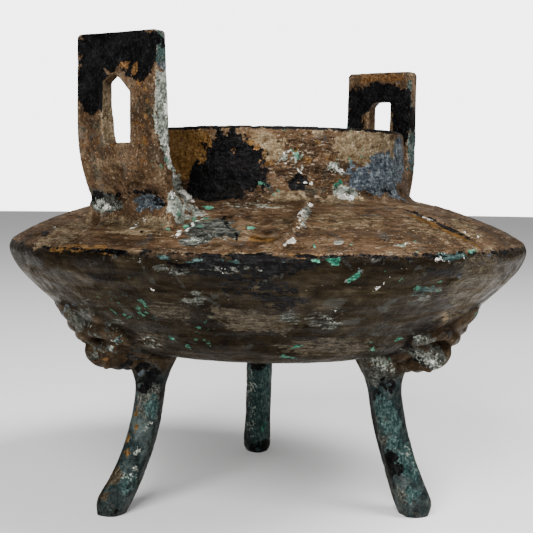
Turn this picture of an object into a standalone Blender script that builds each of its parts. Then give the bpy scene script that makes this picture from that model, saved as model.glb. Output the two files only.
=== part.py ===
"""Cast tripod ritual vessel: a lens-shaped hollow bowl with a straight neck, two upright slotted
handles on its shoulder, and three curved legs that leave the bowl under beast masks.

Metres, +Z up. The bowl's axis is the Z axis and the feet stand on z = 0. The handles stand on
the X axis. The vessel is one casting, so it is one solid.
"""

import math

import bmesh
import bpy
from mathutils import Matrix, Vector

# Main sizes: how high the bowl's floor stands, and each stage of the vessel above the last
FLOOR_HEIGHT = 0.0515
BOWL_DEPTH = 0.0375
SHOULDER_RISE = 0.0158
NECK_RISE = 0.0239
SHOULDER_RADIUS = 0.0900
WALL_THICKNESS = 0.0030
SHOULDER_HEIGHT = FLOOR_HEIGHT + BOWL_DEPTH
NECK_ROOT_HEIGHT = SHOULDER_HEIGHT + SHOULDER_RISE
RIM_HEIGHT = NECK_ROOT_HEIGHT + NECK_RISE

# Bowl
CREASE_RISE = 0.0022
CREASE_INSET = 0.0009
FLOOR_TURN_INSET = 0.0250
FLOOR_TURN_RISE = 0.0100
FLOOR_SWEEP = 0.0440
WALL_ANGLE = math.radians(43)
WALL_LEAD = 0.40
BELLY_LEAD = 0.30
SHOULDER_LEADS = ((0.26, 0.45), (0.64, 0.79))
CAVITY_TRIM = 0.985

# Neck
NECK_ROOT_RADIUS = 0.0490
NECK_FILLET = 0.0042
NECK_FILLET_LEAD = 0.30
RIM_RADIUS = 0.0473
RIM_ROUNDING = 0.0009

# Handles, the one at -X first: the two were cast a little unlike
HANDLE_SIDES = (-1, 1)
HANDLE_WIDTHS = (0.0305, 0.0290)
HANDLE_INSETS = (0.0113, 0.0060)
HANDLE_RISES = (0.0259, 0.0281)
HANDLE_WAIST_INSETS = (0.0060, 0.0048)
HANDLE_CORNER = 0.0013
HANDLE_THICKNESS = 0.0045
HANDLE_LOW_THICKNESS = 0.0060
HANDLE_BEND_DROP = 0.0017
HANDLE_WAIST_RISE = 0.0065
HANDLE_OUTER_FLARE = 0.0062
HANDLE_SIDE_FLARE = 0.0016
HANDLE_TOE_STEP = 0.0010
HANDLE_INNER_FLARE = 0.0135
HANDLE_FILLET_RISE = 0.0130
HANDLE_THROAT_SHARE = 0.35
HANDLE_ROOT_SHARES = (0.0, 0.33, 0.67, 1.0)
HANDLE_TRIM = 0.0008
HANDLE_CORNER_STEPS = 3

# How far the curves of a handle's side view are led on: shares of the run and of the drop
OUTER_LEAD = 0.50
WAIST_LEAD = (0.45, 0.22)
FILLET_LEADS = (0.60, 0.55)
BACK_LEADS = (0.30, 0.40)
FLARE_LEAD = 0.60

# The handles' slots: the cuts are the sloped top corners on the +Y side and on the -Y side
SLOT_WIDTHS = (0.0100, 0.0116)
SLOT_MARGINS = (0.0121, 0.0118)
SLOT_HEIGHT = 0.0202
SLOT_CUTS = (((0.0034, 0.0020), (0.0056, 0.0054)), ((0.0020, 0.0022), (0.0008, 0.0008)))

# Legs
LEG_AZIMUTHS = (math.radians(156), math.radians(276), math.radians(38.5))
LEG_RADII = (0.0050, 0.0056, 0.0050)
LEG_ROOT_REACH = 0.0454
LEG_FOOT_REACHES = (0.0618, 0.0592, 0.0600)
LEG_CURVES = (2.05, 1.85, 1.85)
LEG_ROOT_FLARE = 0.75
LEG_FLARE_DROP = 0.0120
LEG_FOOT_SWELL = 0.10
LEG_SWELL_HEIGHT = 0.0160
LEG_TOE_HEIGHT = 0.0035
LEG_TOE_TAPER = 0.30
LEG_RIDGE = 0.05
LEG_RIDGES = 4

# Beast masks, one over each leg, laid on the slope of the bowl's wall
MASK_INSET = 0.0250
MASK_HALF_WIDTH = 0.0200
MASK_HALF_LENGTH = 0.0160
MASK_GROUND = 0.0008
MASK_BLEND = 5
MASK_BULGE = 2.4
MASK_MARGIN = 0.0018
MASK_SINK = 0.0012
MASK_ROOT_SHARE = 0.8
MASK_SOFTENING = 0.6

# The forms of half a mask: place across and up it, half width, half length and rise
MASK_FORMS = {
    "muzzle": (0.0000, -0.0090, 0.0090, 0.0090, 0.0082),
    "nose": (0.0000, -0.0042, 0.0036, 0.0050, 0.0082),
    "nostril": (0.0036, -0.0074, 0.0027, 0.0027, 0.0086),
    "brow_knot": (0.0000, 0.0030, 0.0048, 0.0034, 0.0062),
    "forehead": (0.0000, 0.0086, 0.0056, 0.0078, 0.0032),
    "eye": (0.0126, -0.0020, 0.0043, 0.0036, 0.0052),
    "cheek": (0.0108, -0.0102, 0.0056, 0.0050, 0.0030),
    "ear": (0.0134, 0.0104, 0.0030, 0.0034, 0.0020),
}

# The brow over each eye: its line across and up the mask, out to where its end curls down
BROW_LINE = (
    (0.0030, 0.0034),
    (0.0080, 0.0050),
    (0.0130, 0.0047),
    (0.0166, 0.0025),
    (0.0179, -0.0008),
)
BROW_HALF_WIDTH = 0.0026
BROW_RISE = 0.0045
BROW_END_SHARE = 0.60

# Mesh density
TURN_STEPS = 48
LEG_SIDES = 12
LEG_STATIONS = 18
LEG_CROWDING = 1.25
MASK_CELLS_ACROSS = 26
MASK_CELLS_ALONG = 22
CURVE_SAMPLES = 24

# How far a cutter runs past the face that it cuts
OVERRUN = 0.0100


def bezier(start, lead, follow, end, count):
    """Points of a cubic curve from start up to, but not including, end."""
    points = []
    for i in range(count):
        t = i / count
        u = 1 - t
        weights = (u * u * u, 3 * u * u * t, 3 * u * t * t, t * t * t)
        controls = (start, lead, follow, end)
        points.append(tuple(sum(w * p[k] for w, p in zip(weights, controls)) for k in (0, 1)))
    return points


def wall_curves():
    """Control points of the floor's, the wall's and the shoulder's curve, as (radius, height)."""
    turn = (SHOULDER_RADIUS - FLOOR_TURN_INSET, FLOOR_HEIGHT + FLOOR_TURN_RISE)
    belly = (SHOULDER_RADIUS, SHOULDER_HEIGHT)
    crease = (SHOULDER_RADIUS - CREASE_INSET, SHOULDER_HEIGHT + CREASE_RISE)
    neck_foot = (NECK_ROOT_RADIUS + NECK_FILLET, NECK_ROOT_HEIGHT)
    lead = WALL_LEAD * (belly[1] - turn[1])
    along = (lead * math.cos(WALL_ANGLE), lead * math.sin(WALL_ANGLE))
    run = crease[0] - neck_foot[0]
    rise = neck_foot[1] - crease[1]
    floor = (
        (0.0, FLOOR_HEIGHT),
        (FLOOR_SWEEP, FLOOR_HEIGHT),
        (turn[0] - along[0], turn[1] - along[1]),
        turn,
    )
    wall = (
        turn,
        (turn[0] + along[0], turn[1] + along[1]),
        (belly[0], belly[1] - BELLY_LEAD * (belly[1] - turn[1])),
        belly,
    )
    leads = [(crease[0] - inward * run, crease[1] + up * rise) for inward, up in SHOULDER_LEADS]
    shoulder = (crease, *leads, neck_foot)
    return floor, wall, shoulder


def outer_profile():
    """The outer side from the middle of the floor to the rim, as (radius, height)."""
    floor, wall, shoulder = wall_curves()
    neck_foot = shoulder[3]
    neck_side = (NECK_ROOT_RADIUS, NECK_ROOT_HEIGHT + NECK_FILLET)
    fillet_lead = (NECK_ROOT_RADIUS + NECK_FILLET_LEAD * NECK_FILLET, NECK_ROOT_HEIGHT)
    points = bezier(*floor, 6) + bezier(*wall, 8) + [wall[3]]
    points += bezier(*shoulder, 7)
    points += bezier(neck_foot, fillet_lead, neck_side, neck_side, 4)
    points += [neck_side, (RIM_RADIUS, RIM_HEIGHT - RIM_ROUNDING)]
    points += [(RIM_RADIUS - RIM_ROUNDING, RIM_HEIGHT)]
    return points


def distance_to_line(point, line):
    """The shortest way in the plane from a point to an open polyline."""
    best = math.inf
    for a, b in zip(line, line[1:]):
        span = Vector(b) - Vector(a)
        way = Vector(point) - Vector(a)
        share = max(0.0, min(1.0, way.dot(span) / span.length_squared))
        best = min(best, (way - share * span).length)
    return best


def cavity_profile():
    """The inner side, a wall's thickness inside the outer one, running on above the rim."""
    line = outer_profile()[:-1]
    inner = [(0.0, FLOOR_HEIGHT + WALL_THICKNESS)]
    for before, here, after in zip(line, line[1:], line[2:]):
        run = Vector(after) - Vector(before)
        inward = Vector((-run.y, run.x)).normalized()
        point = Vector(here) + WALL_THICKNESS * inward
        if distance_to_line(point, line) > CAVITY_TRIM * WALL_THICKNESS:
            inner.append(tuple(point))
    bore = RIM_RADIUS - WALL_THICKNESS
    inner += [(bore, RIM_HEIGHT), (bore, RIM_HEIGHT + OVERRUN), (0.0, RIM_HEIGHT + OVERRUN)]
    return inner


def sampled(curves):
    """A run of curves as one finely sampled polyline."""
    return [p for curve in curves for p in bezier(*curve, CURVE_SAMPLES)] + [curves[-1][3]]


def height_at(curves, radius):
    """The height of a run of curves at a radius."""
    line = sampled(curves)
    for a, b in zip(line, line[1:]):
        if min(a[0], b[0]) <= radius <= max(a[0], b[0]):
            return a[1] + (radius - a[0]) / (b[0] - a[0]) * (b[1] - a[1])
    return line[-1][1]


def shoulder_height(radius):
    return height_at(wall_curves()[2:], radius)


def underside_height(radius):
    return height_at(wall_curves()[:2], radius)


def material(name, color, roughness, metallic):
    made = bpy.data.materials.new(name)
    made.use_nodes = True
    shader = made.node_tree.nodes["Principled BSDF"]
    shader.inputs["Base Color"].default_value = (*color, 1.0)
    shader.inputs["Roughness"].default_value = roughness
    shader.inputs["Metallic"].default_value = metallic
    return made


def collection(name):
    made = bpy.data.collections.new(name)
    bpy.context.scene.collection.children.link(made)
    return made


def mesh_object(name, data, group):
    made = bpy.data.objects.new(name, data)
    group.objects.link(made)
    return made


def shaped(name, shape, group):
    """An object from a finished bmesh, which is freed."""
    mesh = bpy.data.meshes.new(name)
    shape.to_mesh(mesh)
    shape.free()
    return mesh_object(name, mesh, group)


def as_mesh(source, name, group):
    """A welded mesh of the evaluated object, in the same place; the source is removed."""
    bpy.context.view_layer.update()
    graph = bpy.context.evaluated_depsgraph_get()
    mesh = bpy.data.meshes.new_from_object(source.evaluated_get(graph))
    made = mesh_object(name, mesh, group)
    made.matrix_world = source.matrix_world
    bpy.data.objects.remove(source)
    shape = bmesh.new()
    shape.from_mesh(mesh)
    bmesh.ops.remove_doubles(shape, verts=shape.verts, dist=1e-6)
    bmesh.ops.recalc_face_normals(shape, faces=shape.faces)
    shape.to_mesh(mesh)
    shape.free()
    return made


def boolean(target, other, operation):
    """Joins, cuts or trims the target's mesh with the other solid, which is then removed."""
    step = target.modifiers.new(operation.lower(), "BOOLEAN")
    step.operation = operation
    step.solver = "EXACT"
    step.object = other
    bpy.context.view_layer.update()
    graph = bpy.context.evaluated_depsgraph_get()
    mesh = bpy.data.meshes.new_from_object(target.evaluated_get(graph))
    target.modifiers.remove(step)
    target.data = mesh
    bpy.data.objects.remove(other)


def turned(name, profile, group):
    """A solid turned round Z from a profile that starts and ends on the axis."""
    mesh = bpy.data.meshes.new(name)
    line = profile[::-1]
    edges = [(i, i + 1) for i in range(len(line) - 1)]
    mesh.from_pydata([(radius, 0.0, height) for radius, height in line], edges, [])
    rough = mesh_object(name + "_profile", mesh, group)
    screw = rough.modifiers.new("turn", "SCREW")
    screw.axis = "Z"
    screw.angle = math.tau
    screw.steps = TURN_STEPS
    screw.render_steps = TURN_STEPS
    screw.use_merge_vertices = True
    screw.merge_threshold = 0.00001
    return as_mesh(rough, name, group)


def flat_outline(name, points, depth, placing, group):
    """A closed outline, thickened evenly to both sides of its plane and then placed."""
    curve = bpy.data.curves.new(name, "CURVE")
    curve.dimensions = "2D"
    curve.fill_mode = "BOTH"
    curve.extrude = depth / 2
    spline = curve.splines.new("POLY")
    spline.points.add(len(points) - 1)
    for point, (x, y) in zip(spline.points, points):
        point.co = (x, y, 0.0, 1.0)
    spline.use_cyclic_u = True
    rough = mesh_object(name + "_outline", curve, group)
    rough.matrix_world = placing
    return as_mesh(rough, name, group)


def handle_reach(index):
    return SHOULDER_RADIUS - HANDLE_INSETS[index]


def handle_top(index):
    return RIM_HEIGHT + HANDLE_RISES[index]


def handle_outline(index):
    """A handle's side view as (radius, height): outer face, root, inner fillet, inner face."""
    reach = handle_reach(index)
    bend = (reach, RIM_HEIGHT - HANDLE_BEND_DROP)
    back_bend = (reach - HANDLE_LOW_THICKNESS, bend[1])
    inset = HANDLE_WAIST_INSETS[index]
    waist = (reach - inset, shoulder_height(reach - inset) + HANDLE_WAIST_RISE)
    drop = bend[1] - waist[1]
    toe = waist[0] + HANDLE_OUTER_FLARE
    throat_reach = waist[0] - HANDLE_THROAT_SHARE * HANDLE_LOW_THICKNESS
    throat = (throat_reach, shoulder_height(throat_reach) + HANDLE_FILLET_RISE)
    heel = (throat[0] - HANDLE_INNER_FLARE, shoulder_height(throat[0] - HANDLE_INNER_FLARE))
    climb = bend[1] - throat[1]
    points = [(reach, handle_top(index))]
    points += bezier(
        bend,
        (reach, bend[1] - OUTER_LEAD * drop),
        (waist[0] + WAIST_LEAD[0] * inset, waist[1] + WAIST_LEAD[1] * drop),
        waist,
        6,
    )
    points += [waist, (toe, shoulder_height(toe) + HANDLE_TOE_STEP)]
    for share in HANDLE_ROOT_SHARES:
        radius = toe + share * (heel[0] - toe)
        points.append((radius, shoulder_height(radius) - WALL_THICKNESS / 2))
    points += bezier(
        heel,
        (heel[0] + FILLET_LEADS[0] * HANDLE_INNER_FLARE, heel[1]),
        (throat[0], throat[1] - FILLET_LEADS[1] * HANDLE_FILLET_RISE),
        throat,
        6,
    )
    points += bezier(
        throat,
        (throat[0], throat[1] + BACK_LEADS[0] * climb),
        (back_bend[0], back_bend[1] - BACK_LEADS[1] * climb),
        back_bend,
        3,
    )
    points += [back_bend, (reach - HANDLE_THICKNESS, handle_top(index))]
    return points


def face_outline(width, height, root_height):
    """A handle's front view on its base line: a flared root and rounded top corners."""
    half = width / 2
    corner = HANDLE_CORNER
    foot = (half + HANDLE_SIDE_FLARE, root_height - HANDLE_WAIST_RISE)
    waist = (half, root_height)
    lead = (half, root_height - FLARE_LEAD * HANDLE_WAIST_RISE)
    flare = bezier(foot, lead, waist, waist, 3) + [waist]
    points = [(foot[0], 0.0)] + flare
    for side, start in ((1, 0.0), (-1, math.pi / 2)):
        for i in range(HANDLE_CORNER_STEPS + 1):
            angle = start + i / HANDLE_CORNER_STEPS * math.pi / 2
            across = side * (half - corner) + corner * math.cos(angle)
            points.append((across, height - corner + corner * math.sin(angle)))
    return points + [(-across, up) for across, up in reversed(flare)] + [(-foot[0], 0.0)]


def slot_outline(width, height, cuts):
    """A slot's front view on its base line, with sloped top corners."""
    half = width / 2
    (across_left, down_left), (across_right, down_right) = cuts
    return [
        (-half, 0.0),
        (half, 0.0),
        (half, height - down_left),
        (half - across_left, height),
        (-half + across_right, height),
        (-half, height - down_right),
    ]


def facing_x(side, radius, height):
    """Stands an outline upright across the X axis, its first coordinate along Y."""
    upright = Matrix(((0, 0, 1, 0), (1, 0, 0, 0), (0, 1, 0, 0), (0, 0, 0, 1)))
    return Matrix.Translation((side * radius, 0.0, height)) @ upright


def handle(index, group):
    """One upright handle: its side view over its width, trimmed to its face and slotted."""
    side = HANDLE_SIDES[index]
    width = HANDLE_WIDTHS[index]
    reach = handle_reach(index)
    top = handle_top(index)
    edge_on = Matrix(((side, 0, 0, 0), (0, 0, -side, 0), (0, 1, 0, 0), (0, 0, 0, 1)))
    spread = width + 2 * (HANDLE_SIDE_FLARE + HANDLE_TRIM)
    slab = flat_outline("handle", handle_outline(index), spread, edge_on, group)

    base = shoulder_height(reach) - OVERRUN
    waist = shoulder_height(reach - HANDLE_WAIST_INSETS[index]) + HANDLE_WAIST_RISE
    face = face_outline(width, top - base, waist - base)
    trimmer = flat_outline("handle_face", face, 2 * reach, facing_x(side, reach, base), group)
    boolean(slab, trimmer, "INTERSECT")

    slot = slot_outline(SLOT_WIDTHS[index], SLOT_HEIGHT, SLOT_CUTS[index])
    sill = top - SLOT_MARGINS[index] - SLOT_HEIGHT
    depth = 2 * (HANDLE_LOW_THICKNESS + OVERRUN)
    cutter = flat_outline("handle_slot", slot, depth, facing_x(side, reach, sill), group)
    boolean(slab, cutter, "DIFFERENCE")
    return slab


def leg_girth(height, root_height):
    """A leg's thickness at a height, as a share of its radius halfway down."""
    root = min(1.0, max(0.0, 1 - (root_height - height) / LEG_FLARE_DROP))
    swell = max(0.0, 1 - height / LEG_SWELL_HEIGHT)
    toe = max(0.0, 1 - height / LEG_TOE_HEIGHT)
    return 1 + LEG_ROOT_FLARE * root**2 + LEG_FOOT_SWELL * swell**0.5 - LEG_TOE_TAPER * toe**2


def leg_section(radius, group):
    """The cross section of a leg: a round bar with low ridges down its length."""
    section = bpy.data.curves.new("leg_section", "CURVE")
    section.dimensions = "2D"
    ring = section.splines.new("POLY")
    ring.points.add(LEG_SIDES - 1)
    for i, point in enumerate(ring.points):
        angle = math.tau * i / LEG_SIDES
        reach = radius * (1 + LEG_RIDGE * math.cos(LEG_RIDGES * angle))
        point.co = (reach * math.cos(angle), reach * math.sin(angle), 0.0, 1.0)
    ring.use_cyclic_u = True
    return mesh_object("leg_section", section, group)


def leg(index, group):
    """One leg, on a path that drops from the floor and sweeps out to the foot."""
    top = underside_height(LEG_ROOT_REACH) + WALL_THICKNESS / 2
    bottom = -LEG_TOE_HEIGHT / 2
    section = leg_section(LEG_RADII[index], group)
    path = bpy.data.curves.new("leg", "CURVE")
    path.dimensions = "3D"
    path.bevel_mode = "OBJECT"
    path.bevel_object = section
    path.use_fill_caps = True
    path.twist_mode = "MINIMUM"
    line = path.splines.new("POLY")
    line.points.add(LEG_STATIONS - 1)
    for i, point in enumerate(line.points):
        height = top + (bottom - top) * (i / (LEG_STATIONS - 1)) ** LEG_CROWDING
        sweep = (1 - min(height, FLOOR_HEIGHT) / FLOOR_HEIGHT) ** LEG_CURVES[index]
        reach = LEG_ROOT_REACH + (LEG_FOOT_REACHES[index] - LEG_ROOT_REACH) * sweep
        point.co = (reach, 0.0, height, 1.0)
        point.radius = leg_girth(height, FLOOR_HEIGHT)
    bar = as_mesh(mesh_object("leg_path", path, group), "leg", group)
    bpy.data.objects.remove(section)
    bar.matrix_world = Matrix.Rotation(LEG_AZIMUTHS[index], 4, "Z")
    return bar


def brow_relief(across, up):
    """Height of the brow: a rounded ridge along its line, which thins towards its end."""
    place = Vector((abs(across), up))
    steps = len(BROW_LINE) - 1
    height = 0.0
    for i, (start, end) in enumerate(zip(BROW_LINE, BROW_LINE[1:])):
        run = Vector(end) - Vector(start)
        way = place - Vector(start)
        share = max(0.0, min(1.0, way.dot(run) / run.length_squared))
        size = 1 - (1 - BROW_END_SHARE) * (i + share) / steps
        gap = (way - share * run).length / (size * BROW_HALF_WIDTH)
        if gap < 1:
            height = max(height, size * BROW_RISE * math.sqrt(1 - gap * gap))
    return height


def dome_relief(across, up, form):
    """Height of one rounded form, on whichever half of the mask the place is."""
    place, station, half_width, half_length, rise = form
    side = abs((abs(across) - place) / half_width)
    along = abs((up - station) / half_length)
    fall = side**MASK_BULGE + along**MASK_BULGE
    return rise * (1 - fall) ** (1 / MASK_BULGE) if fall < 1 else 0.0


def mask_relief(across, up):
    """Height of a mask's face above the bowl, its forms run softly into each other."""
    spread = math.hypot(across / MASK_HALF_WIDTH, up / MASK_HALF_LENGTH)
    heights = [dome_relief(across, up, form) for form in MASK_FORMS.values()]
    heights.append(brow_relief(across, up))
    heights.append(MASK_GROUND if spread < 1 else 0.0)
    total = sum(height**MASK_BLEND for height in heights)
    return total ** (1 / MASK_BLEND) if total else -MASK_SINK


class BowlSide:
    """The bowl's underside unrolled: a distance up the wall from the masks' middle."""

    def __init__(self):
        self.line = [Vector(p) for p in sampled(wall_curves()[:2])]
        self.stations = [0.0]
        for a, b in zip(self.line, self.line[1:]):
            self.stations.append(self.stations[-1] + (b - a).length)
        middle = next(i for i, p in enumerate(self.line) if p.x >= SHOULDER_RADIUS - MASK_INSET)
        self.middle = self.stations[middle]

    def place(self, up, lift):
        """The (radius, height) at a distance up the wall and a lift off its face."""
        want = self.middle + up
        i = next(k for k, s in enumerate(self.stations[1:]) if s >= want)
        a, b = self.line[i], self.line[i + 1]
        share = (want - self.stations[i]) / (self.stations[i + 1] - self.stations[i])
        run = (b - a).normalized()
        return a + share * (b - a) + lift * Vector((run.y, -run.x))


def mask(azimuth, group):
    """One beast mask: a pad that follows the bowl's side, its front raised into a face."""
    side = BowlSide()
    reach = SHOULDER_RADIUS - MASK_INSET
    shape = bmesh.new()
    bmesh.ops.create_grid(
        shape, x_segments=MASK_CELLS_ACROSS, y_segments=MASK_CELLS_ALONG, size=1.0
    )
    bmesh.ops.scale(
        shape,
        verts=shape.verts,
        vec=(MASK_HALF_WIDTH + MASK_MARGIN, MASK_HALF_LENGTH + MASK_MARGIN, 1.0),
    )
    made = bmesh.ops.extrude_face_region(shape, geom=shape.faces[:])
    front = {v for v in made["geom"] if isinstance(v, bmesh.types.BMVert)}
    for vert in shape.verts:
        across, up = vert.co.x, vert.co.y
        lift = mask_relief(across, up) if vert in front else -MASK_ROOT_SHARE * WALL_THICKNESS
        radius, height = side.place(up, lift)
        turn = azimuth + across / reach
        vert.co = (radius * math.cos(turn), radius * math.sin(turn), height)
    face = [v for v in front if all(w in front for e in v.link_edges for w in e.verts)]
    axes = {"use_axis_x": True, "use_axis_y": True, "use_axis_z": True}
    bmesh.ops.smooth_vert(shape, verts=face, factor=MASK_SOFTENING, **axes)
    bmesh.ops.recalc_face_normals(shape, faces=shape.faces)
    return shaped("mask", shape, group)


def ground_cutter(group):
    """A block under the ground plane that gives each foot its flat sole."""
    shape = bmesh.new()
    bmesh.ops.create_cube(shape, size=1.0)
    span = 4 * SHOULDER_RADIUS
    bmesh.ops.scale(shape, verts=shape.verts, vec=(span, span, 2 * OVERRUN))
    bmesh.ops.translate(shape, verts=shape.verts, vec=(0.0, 0.0, -OVERRUN))
    return shaped("ground", shape, group)


def build():
    for obj in list(bpy.data.objects):
        bpy.data.objects.remove(obj)
    parts = collection("tripod_ritual_vessel")
    cutters = collection("cutters")
    vessel = turned("tripod_vessel", outer_profile() + [(0.0, RIM_HEIGHT)], parts)
    for index, azimuth in enumerate(LEG_AZIMUTHS):
        boolean(vessel, mask(azimuth, cutters), "UNION")
        boolean(vessel, leg(index, cutters), "UNION")
    for index in range(len(HANDLE_SIDES)):
        boolean(vessel, handle(index, cutters), "UNION")
    boolean(vessel, turned("cavity", cavity_profile(), cutters), "DIFFERENCE")
    boolean(vessel, ground_cutter(cutters), "DIFFERENCE")
    vessel.data.materials.clear()
    vessel.data.materials.append(material("aged_bronze", (0.105, 0.070, 0.045), 0.62, 0.35))
    vessel.data.shade_smooth()
    vessel.data.set_sharp_from_angle(angle=math.radians(40))


build()
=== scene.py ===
import math
import random

import bmesh
import bpy
import numpy as np
from mathutils import Matrix, Vector, noise


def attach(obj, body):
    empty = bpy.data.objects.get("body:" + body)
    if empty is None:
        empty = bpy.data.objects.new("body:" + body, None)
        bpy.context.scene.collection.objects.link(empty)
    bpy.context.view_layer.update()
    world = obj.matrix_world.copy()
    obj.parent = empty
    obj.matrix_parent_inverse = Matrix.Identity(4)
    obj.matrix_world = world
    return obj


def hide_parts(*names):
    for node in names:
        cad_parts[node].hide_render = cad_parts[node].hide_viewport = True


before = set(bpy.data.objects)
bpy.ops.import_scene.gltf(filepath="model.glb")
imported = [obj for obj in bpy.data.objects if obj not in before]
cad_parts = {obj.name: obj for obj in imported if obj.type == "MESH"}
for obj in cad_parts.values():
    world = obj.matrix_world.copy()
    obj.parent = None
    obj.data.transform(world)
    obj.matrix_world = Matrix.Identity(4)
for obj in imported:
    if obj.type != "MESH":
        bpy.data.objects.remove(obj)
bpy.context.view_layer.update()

random.seed(7)
MM = 0.001
VOXEL = 0.0005
EASING_ROUNDS = 3
TRIANGLES = 190000
TRIANGLES_INSIDE = 60000

# The bowl and the neck, in metres, and the leads of their curves as shares of run and rise
FLOOR_HEIGHT = 0.0515
FLOOR_FLAT = 0.0440
FLOOR_TURN = (0.0650, 0.0615)
WALL = 0.0030
WALL_ANGLE = math.radians(43)
WALL_LEAD = 0.40
BELLY_LEAD = 0.30
SHOULDER_RADIUS = 0.0900
SHOULDER_HEIGHT = 0.0890
SHOULDER_LEADS = ((0.26, 0.45), (0.64, 0.79))
CREASE = (0.0891, 0.0912)
NECK_ROOT_HEIGHT = 0.1048
NECK_ROOT_RADIUS = 0.0490
NECK_FILLET = 0.0042
RIM_RADIUS = 0.0473
RIM_HEIGHT = 0.1287
RIM_ROUND = 0.0009
TURN_STEPS = 180

# The handles at -X and +X, in metres; the throat by its inset from the waist and its rise
HANDLE_SIDES = (-1, 1)
HANDLE_WIDTHS = (0.0305, 0.0290)
HANDLE_REACHES = (0.0787, 0.0840)
HANDLE_TOPS = (0.1546, 0.1568)
HANDLE_BEND = 0.1270
HANDLE_THICKNESS = 0.0060
HANDLE_TOP_THICKNESS = 0.0045
HANDLE_CORNER = 0.0013
HANDLE_WAIST_INSETS = (0.0060, 0.0048)
HANDLE_WAIST_RISE = 0.0065
HANDLE_FLARE = 0.0018
HANDLE_TOES = (0.0012, 0.0062)
HANDLE_TOE_RISE = 0.0010
HANDLE_THROAT = (0.0021, 0.0130)
HANDLE_HEEL_RUN = 0.0135
HANDLE_HEEL_LEADS = (0.0081, 0.0072)
HANDLE_TILT = 0.0004
HANDLE_SPREADS = (0.0010, 0.0006)

# Their slots: cuts of the top corners as (across, down), and a draft that opens them inwards
SLOT_WIDTHS = (0.0100, 0.0094)
SLOT_SHIFTS = (0.0, -0.0005)
SLOT_SILLS = (0.1223, 0.1248)
SLOT_HEIGHT = 0.0202
SLOT_CUTS = (((0.0034, 0.0020), (0.0056, 0.0054)), ((0.0020, 0.0022), (0.0008, 0.0008)))
SLOT_DRAFTS = ((0.0008, 0.0022), (0.0004, 0.0004))
SLOT_DRAFT_SHARES = (1.5, -0.3)
SLOT_CLEARANCES = (0.008, 0.014)

# The stub at the root of the handle at -X: corners by the signs of a cube's
STUB = {
    (1, 1, 1): (-0.0660, 0.0128, 0.1062),
    (1, -1, 1): (-0.0660, -0.0150, 0.1062),
    (-1, 1, 1): (-0.0722, 0.0128, 0.1052),
    (-1, -1, 1): (-0.0724, -0.0152, 0.1052),
    (1, 1, -1): (-0.0660, 0.0075, 0.0935),
    (1, -1, -1): (-0.0660, -0.0205, 0.0935),
    (-1, 1, -1): (-0.0800, 0.0070, 0.0935),
    (-1, -1, -1): (-0.0782, -0.0200, 0.0935),
}

# The legs, in metres; root, foot and toe by height and by how far they swell or taper there
LEG_AZIMUTHS = (math.radians(156), math.radians(276), math.radians(38.5))
LEG_RADII = (0.0050, 0.0056, 0.0050)
LEG_ROOT_REACH = 0.0454
LEG_FOOT_REACHES = (0.0618, 0.0592, 0.0600)
LEG_CURVES = (2.30, 1.85, 1.85)
LEG_BOTTOM = -0.0018
LEG_ROOT = (0.0120, 0.75)
LEG_FOOT = (0.0160, 0.10)
LEG_TOE = (0.0035, 0.30)
LEG_SIDES = 28
LEG_STATIONS = 44

# The masks: reach and half size of their sheet in metres, and its cells
MASK_REACH = 0.0650
MASK_SHEET = (0.0325, 0.0183)
MASK_CELLS = (150, 80)

# A mask's forms in mm: place, station, half width, half length, rise, then fullness and turn
MASK_FORMS = (
    (0.0, -9.0, 9.0, 9.0, 8.2),  # muzzle
    (0.0, -4.0, 3.4, 5.2, 8.5),  # nose
    (3.5, -7.2, 2.4, 2.3, 8.9, 2.0),  # nostril
    (0.0, 3.0, 4.6, 3.3, 5.9),  # root of the nose
    (0.0, 8.4, 5.6, 7.8, 3.3),  # forehead
    (12.6, -1.9, 3.8, 3.2, 4.9, 2.0),  # eye
    (10.9, -10.2, 5.8, 5.2, 3.0),  # cheek
    (13.6, 10.2, 2.6, 3.6, 1.4, 2.0, -0.6),  # ear
)
MASK_OUTLINE = (20.0, 16.0)
EYE = (12.6, -1.9)
NOSTRIL = (3.6, -8.2)
CURL = (11.6, -9.8)

# Ridges in mm: half width and rise, then (across, up, share of width, share of rise).
# The mane's locks are given by their turn from upright in degrees and their length.
BROW = (2.5, 4.2)
BROW_LINE = (
    (3.0, 3.4, 1.0, 1.0), (8.0, 5.0, 1.1, 1.0), (13.0, 4.7, 1.05, 0.9),
    (16.6, 2.5, 0.9, 0.8), (17.9, -0.8, 0.75, 0.6),
)
LOCKS = ((0, 8.2), (26, 7.8), (52, 7.4), (76, 8.0))
LOCK = (1.6, 1.2)
LOWER_SCROLL = (2.1, 1.5)
LOWER_SCROLL_LINE = (
    (-17.0, -5.5, 0.8, 0.8), (-22.0, -6.5, 1.0, 1.0),
    (-27.5, -5.5, 0.9, 0.9), (-31.0, -7.5, 0.6, 0.5),
)
UPPER_SCROLL = (1.6, 1.1)
UPPER_SCROLL_LINE = ((-16.0, -1.5, 0.7, 0.7), (-21.0, -2.2, 0.9, 0.9), (-25.5, -1.0, 0.6, 0.4))

# The photograph's view: place in metres, angles, focal length and frame in pixels, sensor in mm
CAMERA_PLACE = (0, -0.387, 0.110)
CAMERA_AZIMUTH = math.radians(-55)
CAMERA_YAW, CAMERA_PITCH, CAMERA_ROLL = (math.radians(a) for a in (-0.06, 4.26, 0.65))
CAMERA_FOCUS = 1084
FRAME_SIZE = 533
SENSOR = 36

# The light: place in metres, size and power of a lamp, and the strengths of the room and floor
KEY_LAMP = ((0.12, -0.52, 0.95), 0.50, 16.5)
FILL_LAMP = ((-0.75, -0.25, 0.60), 0.50, 14)
LAMPS_AIM = (0, 0, 0.09)
ROOM_LIGHT = 0.28
BACKDROP_LIGHT = 6.0
FLOOR_EXTENT = 4.0
FLOOR_COLOUR = (0.86, 0.86, 0.86, 1)
FLOOR_GLOW = 0.12
WHITE = (1, 1, 1, 1)

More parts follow.
